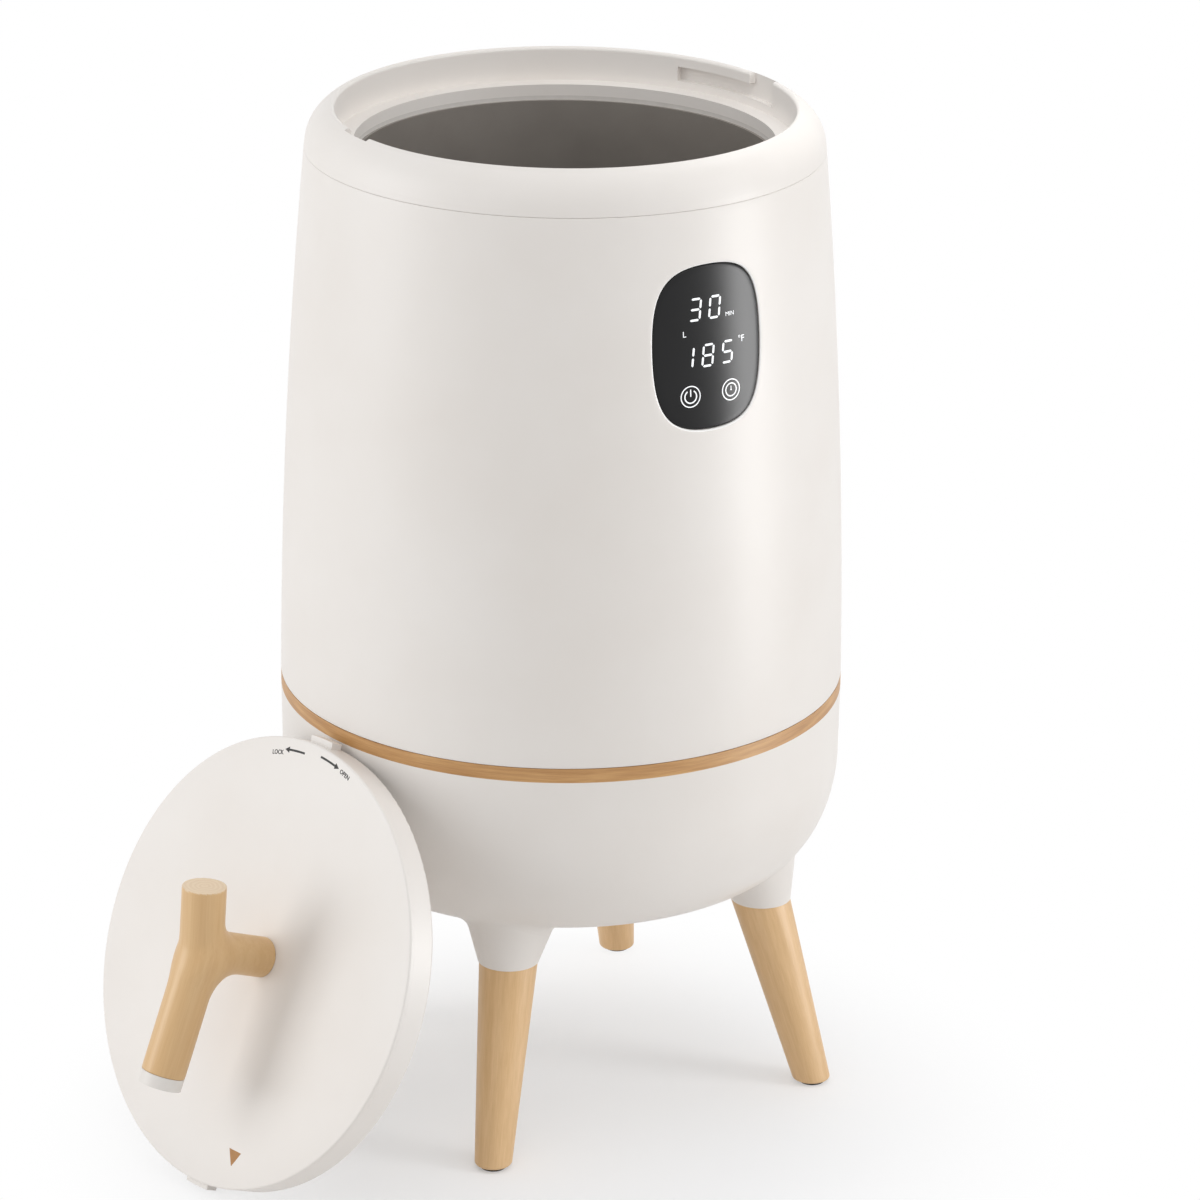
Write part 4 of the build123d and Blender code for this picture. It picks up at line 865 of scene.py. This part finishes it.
solid = whittled.evaluated_get(bpy.context.evaluated_depsgraph_get()).to_mesh()
bark = bmesh.new()
bark.from_mesh(solid)
bpy.data.objects.remove(whittled)

points = np.array([vertex.co for vertex in bark.verts])
for _ in range(SANDING_ROUNDS):
    here = branch_distance(points)
    nudges = SANDING_PROBE * np.eye(3)
    slope = np.column_stack(
        [(branch_distance(points + nudge) - here) / SANDING_PROBE for nudge in nudges]
    )
    points -= here[:, None] * slope / np.maximum((slope**2).sum(1), LEAST_SLOPE)[:, None]

_, length, outward = along_branch(points)
grain = bark.verts.layers.float_vector.new("grain")
sawn = bark.verts.layers.float.new("sawn")
branch_foot = lid_base + lid_across * BRANCH_FOOT[0] + lid_up * BRANCH_FOOT[1] + lid_out * FACE_LIFT
for vertex, (up, out, across), along, aside in zip(bark.verts, points, length, outward):
    vertex[grain] = (aside, across, along)
    vertex[sawn] = float(branch_length - along < SAWN_DEPTH)
    vertex.co = branch_foot + lid_up * up + lid_out * (BRANCH_STANDOFF + out) + lid_across * across


def add_sum(finish, operation, first, second):
    """Arithmetic on two values."""
    step = add_step(finish, "Math", operation=operation)
    for socket, value in zip(step.inputs, (first, second)):
        feed(finish, socket, value)
    return step.outputs["Value"]


def add_blend(finish, share, first, second):
    """Colour between two colours, by a share from 0 to 1. The node keeps the sockets of its
    colour form at places 6 and 7, and that form's result at place 2."""
    step = add_step(finish, "Mix", data_type="RGBA")
    for place, value in ((0, share), (6, first), (7, second)):
        feed(finish, step.inputs[place], value)
    return step.outputs[2]


STREAK_DRAW, FIBRE_DRAW = 0.07, 0.025
STREAK_SHARE, FIBRE_SHARE, FIBRES_PER_STREAK = 0.55, 0.45, 7
RING_SCALE, OILED_GLOSS = 120.0, 0.8


def wood_finish(name, tones, grain_place, streak, gloss, depth, sawn_tones=()):
    """Oiled wood in three tones, dark to pale. Grain_place makes the vector whose Z runs along the
    grain, and streak is how wide the broad streaks are. A sawn end takes two paler tones."""
    finish = bpy.data.materials.new(name)
    finish.use_nodes = True
    grain = grain_place(finish)
    wide = add_step(finish, "Mapping", Vector=grain, Scale=(1, 1, STREAK_DRAW)).outputs["Vector"]
    fine = add_step(finish, "Mapping", Vector=grain, Scale=(1, 1, FIBRE_DRAW)).outputs["Vector"]
    bands = add_step(finish, "TexNoise", Vector=wide, Scale=1 / streak, Detail=3.0, Distortion=0.4)
    fibres = add_step(
        finish, "TexNoise", Vector=fine, Scale=FIBRES_PER_STREAK / streak, Detail=4.0, Roughness=0.65,
    )
    broad = add_sum(finish, "MULTIPLY", bands.outputs["Fac"], STREAK_SHARE)
    narrow = add_sum(finish, "MULTIPLY", fibres.outputs["Fac"], FIBRE_SHARE)
    figure = add_sum(finish, "ADD", broad, narrow)
    dark, mid, pale = tones
    tint = add_ramp(finish, figure, [(0.36, dark), (0.5, mid), (0.64, pale)])
    if sawn_tones:
        cut = add_step(finish, "Attribute", attribute_name="sawn").outputs["Fac"]
        flat = add_step(finish, "Mapping", Vector=grain, Scale=(1, 1, 0)).outputs["Vector"]
        rings = add_step(
            finish, "TexWave", Vector=flat, Scale=RING_SCALE, Distortion=4.0, wave_type="RINGS",
            rings_direction="Z",
        )
        end_tint = add_ramp(finish, rings.outputs["Fac"], [(0.2, sawn_tones[0]), (0.8, sawn_tones[1])])
        tint = add_blend(finish, cut, tint, end_tint)
    low, high = gloss
    worn = add_step(finish, "MapRange", Value=fibres.outputs["Fac"], To_Min=low, To_Max=high)
    join_up(finish, tint, worn.outputs["Result"], fibres.outputs["Fac"], depth)
    finish.node_tree.nodes["Principled BSDF"].inputs["Specular IOR Level"].default_value = OILED_GLOSS
    return finish


def branch_grain(finish):
    """Grain that follows both limbs of the fork."""
    return add_step(finish, "Attribute", attribute_name="grain").outputs["Vector"]


branch_wood = wood_finish(
    "branch_wood", (srgb(207, 167, 115), srgb(212, 174, 123), srgb(217, 181, 131)), branch_grain,
    streak=0.006, gloss=(0.36, 0.46), depth=0.00002,
    sawn_tones=(srgb(221, 196, 163), srgb(227, 204, 173)),
)
finish_piece(bark, "branch_handle_wood", "lid", (branch_wood,), ("branch_handle",))


# ---------------------------------------------------------------- handle cap
# White moulded cap on the lower, sawn end of the branch. It is pushed over the wood and covers
# the end grain.
cap_white = surface_finish(
    "cap_white", srgb(224, 219, 214), srgb(229, 225, 220),
    patch=0.02, gloss=(0.4, 0.5), pore=0.0008, depth=0.00001,
)
dress(cap_white, "handle_cap")


# ---------------------------------------------------------------- legs
# Four turned and tapered beech legs, oiled, that splay outwards. Each screws on a steel stud into
# a brass insert in its socket, and stands on a black rubber pad.
FOOT_CIRCLE, SOCKET_CIRCLE, SOCKET_RIM = 0.153, 0.1195, 0.1133
LEG_AZIMUTHS = {"front_right": 45, "front_left": -45, "rear_left": -135, "rear_right": 135}


def leg_grain(azimuth):
    """Grain along the axis of the leg at an azimuth."""
    axis = turned(azimuth, SOCKET_CIRCLE, SOCKET_RIM) - turned(azimuth, FOOT_CIRCLE, 0.0)
    stand = Vector((0, 0, 1)).rotation_difference(axis).inverted().to_euler()

    def place(finish):
        spot = add_step(finish, "TexCoord").outputs["Object"]
        return add_step(finish, "Mapping", Vector=spot, Rotation=stand).outputs["Vector"]

    return place


for name, azimuth in LEG_AZIMUTHS.items():
    beech = wood_finish(
        "beech_" + name, (srgb(213, 173, 120), srgb(220, 181, 130), srgb(227, 189, 140)),
        leg_grain(azimuth), streak=0.005, gloss=(0.36, 0.46), depth=0.00003,
    )
    dress(beech, "leg_" + name)
dress(brass, "leg_inserts")
dress(black_rubber, "foot_pads")


# ---------------------------------------------------------------- trim band
# Thin plastic strip with a printed wood film, in the groove between the wall and the bowl. It is
# pressed in last, over the screws that hold the two shells together.
def band_grain(finish):
    """Grain that runs round the bucket."""
    spot = add_step(finish, "TexCoord").outputs["Object"]
    parts = add_step(finish, "SeparateXYZ", Vector=spot).outputs
    turn = add_sum(finish, "ARCTAN2", parts["X"], add_sum(finish, "MULTIPLY", parts["Y"], -1.0))
    run = add_sum(finish, "MULTIPLY", turn, BAND_RADIUS)
    return add_step(finish, "CombineXYZ", X=parts["Z"], Y=0.0, Z=run).outputs["Vector"]


trim_wood_film = wood_finish(
    "trim_wood_film", (srgb(172, 122, 64), srgb(190, 141, 83), srgb(207, 161, 102)), band_grain,
    streak=0.003, gloss=(0.4, 0.5), depth=0.00001,
)
dress(trim_wood_film, "trim_band")


# ---------------------------------------------------------------- studio
# White all round. A tall softbox on each side and a wide one overhead light the bucket, a small
# lamp lights its mouth, and one panel low on the right is there only for the lens to mirror.
FILL_LIGHT = 0.61


def softbox(name, bearing, distance, height, width, tall, radiance, aim_height):
    """Rectangular lamp at a bearing from the viewer, turned to the bucket's axis."""
    lamp = bpy.data.objects.new(name, bpy.data.lights.new(name, "AREA"))
    lamp.data.shape = "RECTANGLE"
    lamp.data.size, lamp.data.size_y = width, tall
    lamp.data.energy = radiance * width * tall * math.pi
    lamp.visible_camera = False
    bpy.context.collection.objects.link(lamp)
    lamp.location = turned(VIEW_AZIMUTH + bearing, distance, height)
    ahead = Vector((0, 0, aim_height)) - lamp.location
    lamp.rotation_euler = ahead.to_track_quat("-Z", "Y").to_euler()
    return lamp


softbox("softbox_left", -78.0, 1.9, 0.75, width=0.80, tall=1.5, radiance=3.15, aim_height=0.35)
softbox("softbox_right", 74.0, 1.9, 1.00, width=0.60, tall=1.8, radiance=3.7, aim_height=0.35)
softbox("softbox_top", 20.0, 0.6, 2.4, width=1.8, tall=1.8, radiance=0.8, aim_height=0.30)
softbox("mouth_light", 80.0, 0.12, 0.68, width=0.12, tall=0.10, radiance=1.8, aim_height=0.56)
gleam = softbox("gleam_right", 77.0, 1.0, 0.26, width=0.30, tall=0.44, radiance=11.0, aim_height=0.35)
gleam.visible_diffuse = False


def seen_white(finish):
    """1 for rays from the eye, mirror images and glass, which see the paper and the sky white."""
    rays = add_step(finish, "LightPath").outputs
    mirrored = add_sum(finish, "MAXIMUM", rays["Is Glossy Ray"], rays["Is Transmission Ray"])
    return add_sum(finish, "MAXIMUM", rays["Is Camera Ray"], mirrored)


sky = bpy.data.worlds.new("studio_white")
bpy.context.scene.world = sky
sky.use_nodes = True
glow = add_step(sky, "MapRange", Value=seen_white(sky), To_Min=FILL_LIGHT, To_Max=1.0).outputs["Result"]
background = sky.node_tree.nodes["Background"]
background.inputs["Color"].default_value = (1.0, 1.0, 1.0, 1.0)
sky.node_tree.links.new(glow, background.inputs["Strength"])


# ---------------------------------------------------------------- paper floor
# One sheet of pale matt paper under the bucket. It keeps the soft shade of the feet and the lid,
# and away from them it runs off evenly into white.
FLOOR_HALF = 9.0
SHADE_CENTRE = Vector((-0.052, -0.085, 0.0))
SHADE_NEAR, SHADE_FAR, SHADE_GLOW = 0.10, 0.31, 0.32

paper_white = surface_finish(
    "paper_white", srgb(238, 237, 236), srgb(241, 240, 239),
    patch=0.6, gloss=(0.8, 0.9), pore=0.002, depth=0.00001,
)
wiring = paper_white.node_tree
paper = wiring.nodes["Principled BSDF"]
shown = seen_white(paper_white)
plain = paper.inputs["Base Color"].links[0].from_socket
bright = add_blend(paper_white, shown, plain, srgb(250, 251, 253))
wiring.links.new(bright, paper.inputs["Base Color"])

spot = add_step(paper_white, "TexCoord").outputs["Object"]
aside = add_step(paper_white, "Mapping", Vector=spot, Location=-SHADE_CENTRE).outputs["Vector"]
reach = add_step(paper_white, "VectorMath", operation="LENGTH", Vector=aside).outputs["Value"]
fade = add_step(
    paper_white, "MapRange", interpolation_type="SMOOTHSTEP", Value=reach,
    From_Min=SHADE_NEAR, From_Max=SHADE_FAR, To_Min=SHADE_GLOW, To_Max=1.0,
).outputs["Result"]
white = add_step(paper_white, "Emission", Strength=1.0).outputs["Emission"]
blend = add_step(paper_white, "MixShader", Fac=add_sum(paper_white, "MULTIPLY", fade, shown))
wiring.links.new(paper.outputs["BSDF"], blend.inputs[1])
wiring.links.new(white, blend.inputs[2])
wiring.links.new(blend.outputs["Shader"], wiring.nodes["Material Output"].inputs["Surface"])

sheet = bpy.data.meshes.new("studio_floor")
corners = [(x * FLOOR_HALF, y * FLOOR_HALF, 0.0) for x, y in ((-1, -1), (1, -1), (1, 1), (-1, 1))]
sheet.from_pydata(corners, [], [(0, 1, 2, 3)])
sheet.materials.append(paper_white)
studio_floor = bpy.data.objects.new("studio_floor", sheet)
bpy.context.collection.objects.link(studio_floor)

bpy.context.scene.view_settings.view_transform = "Standard"
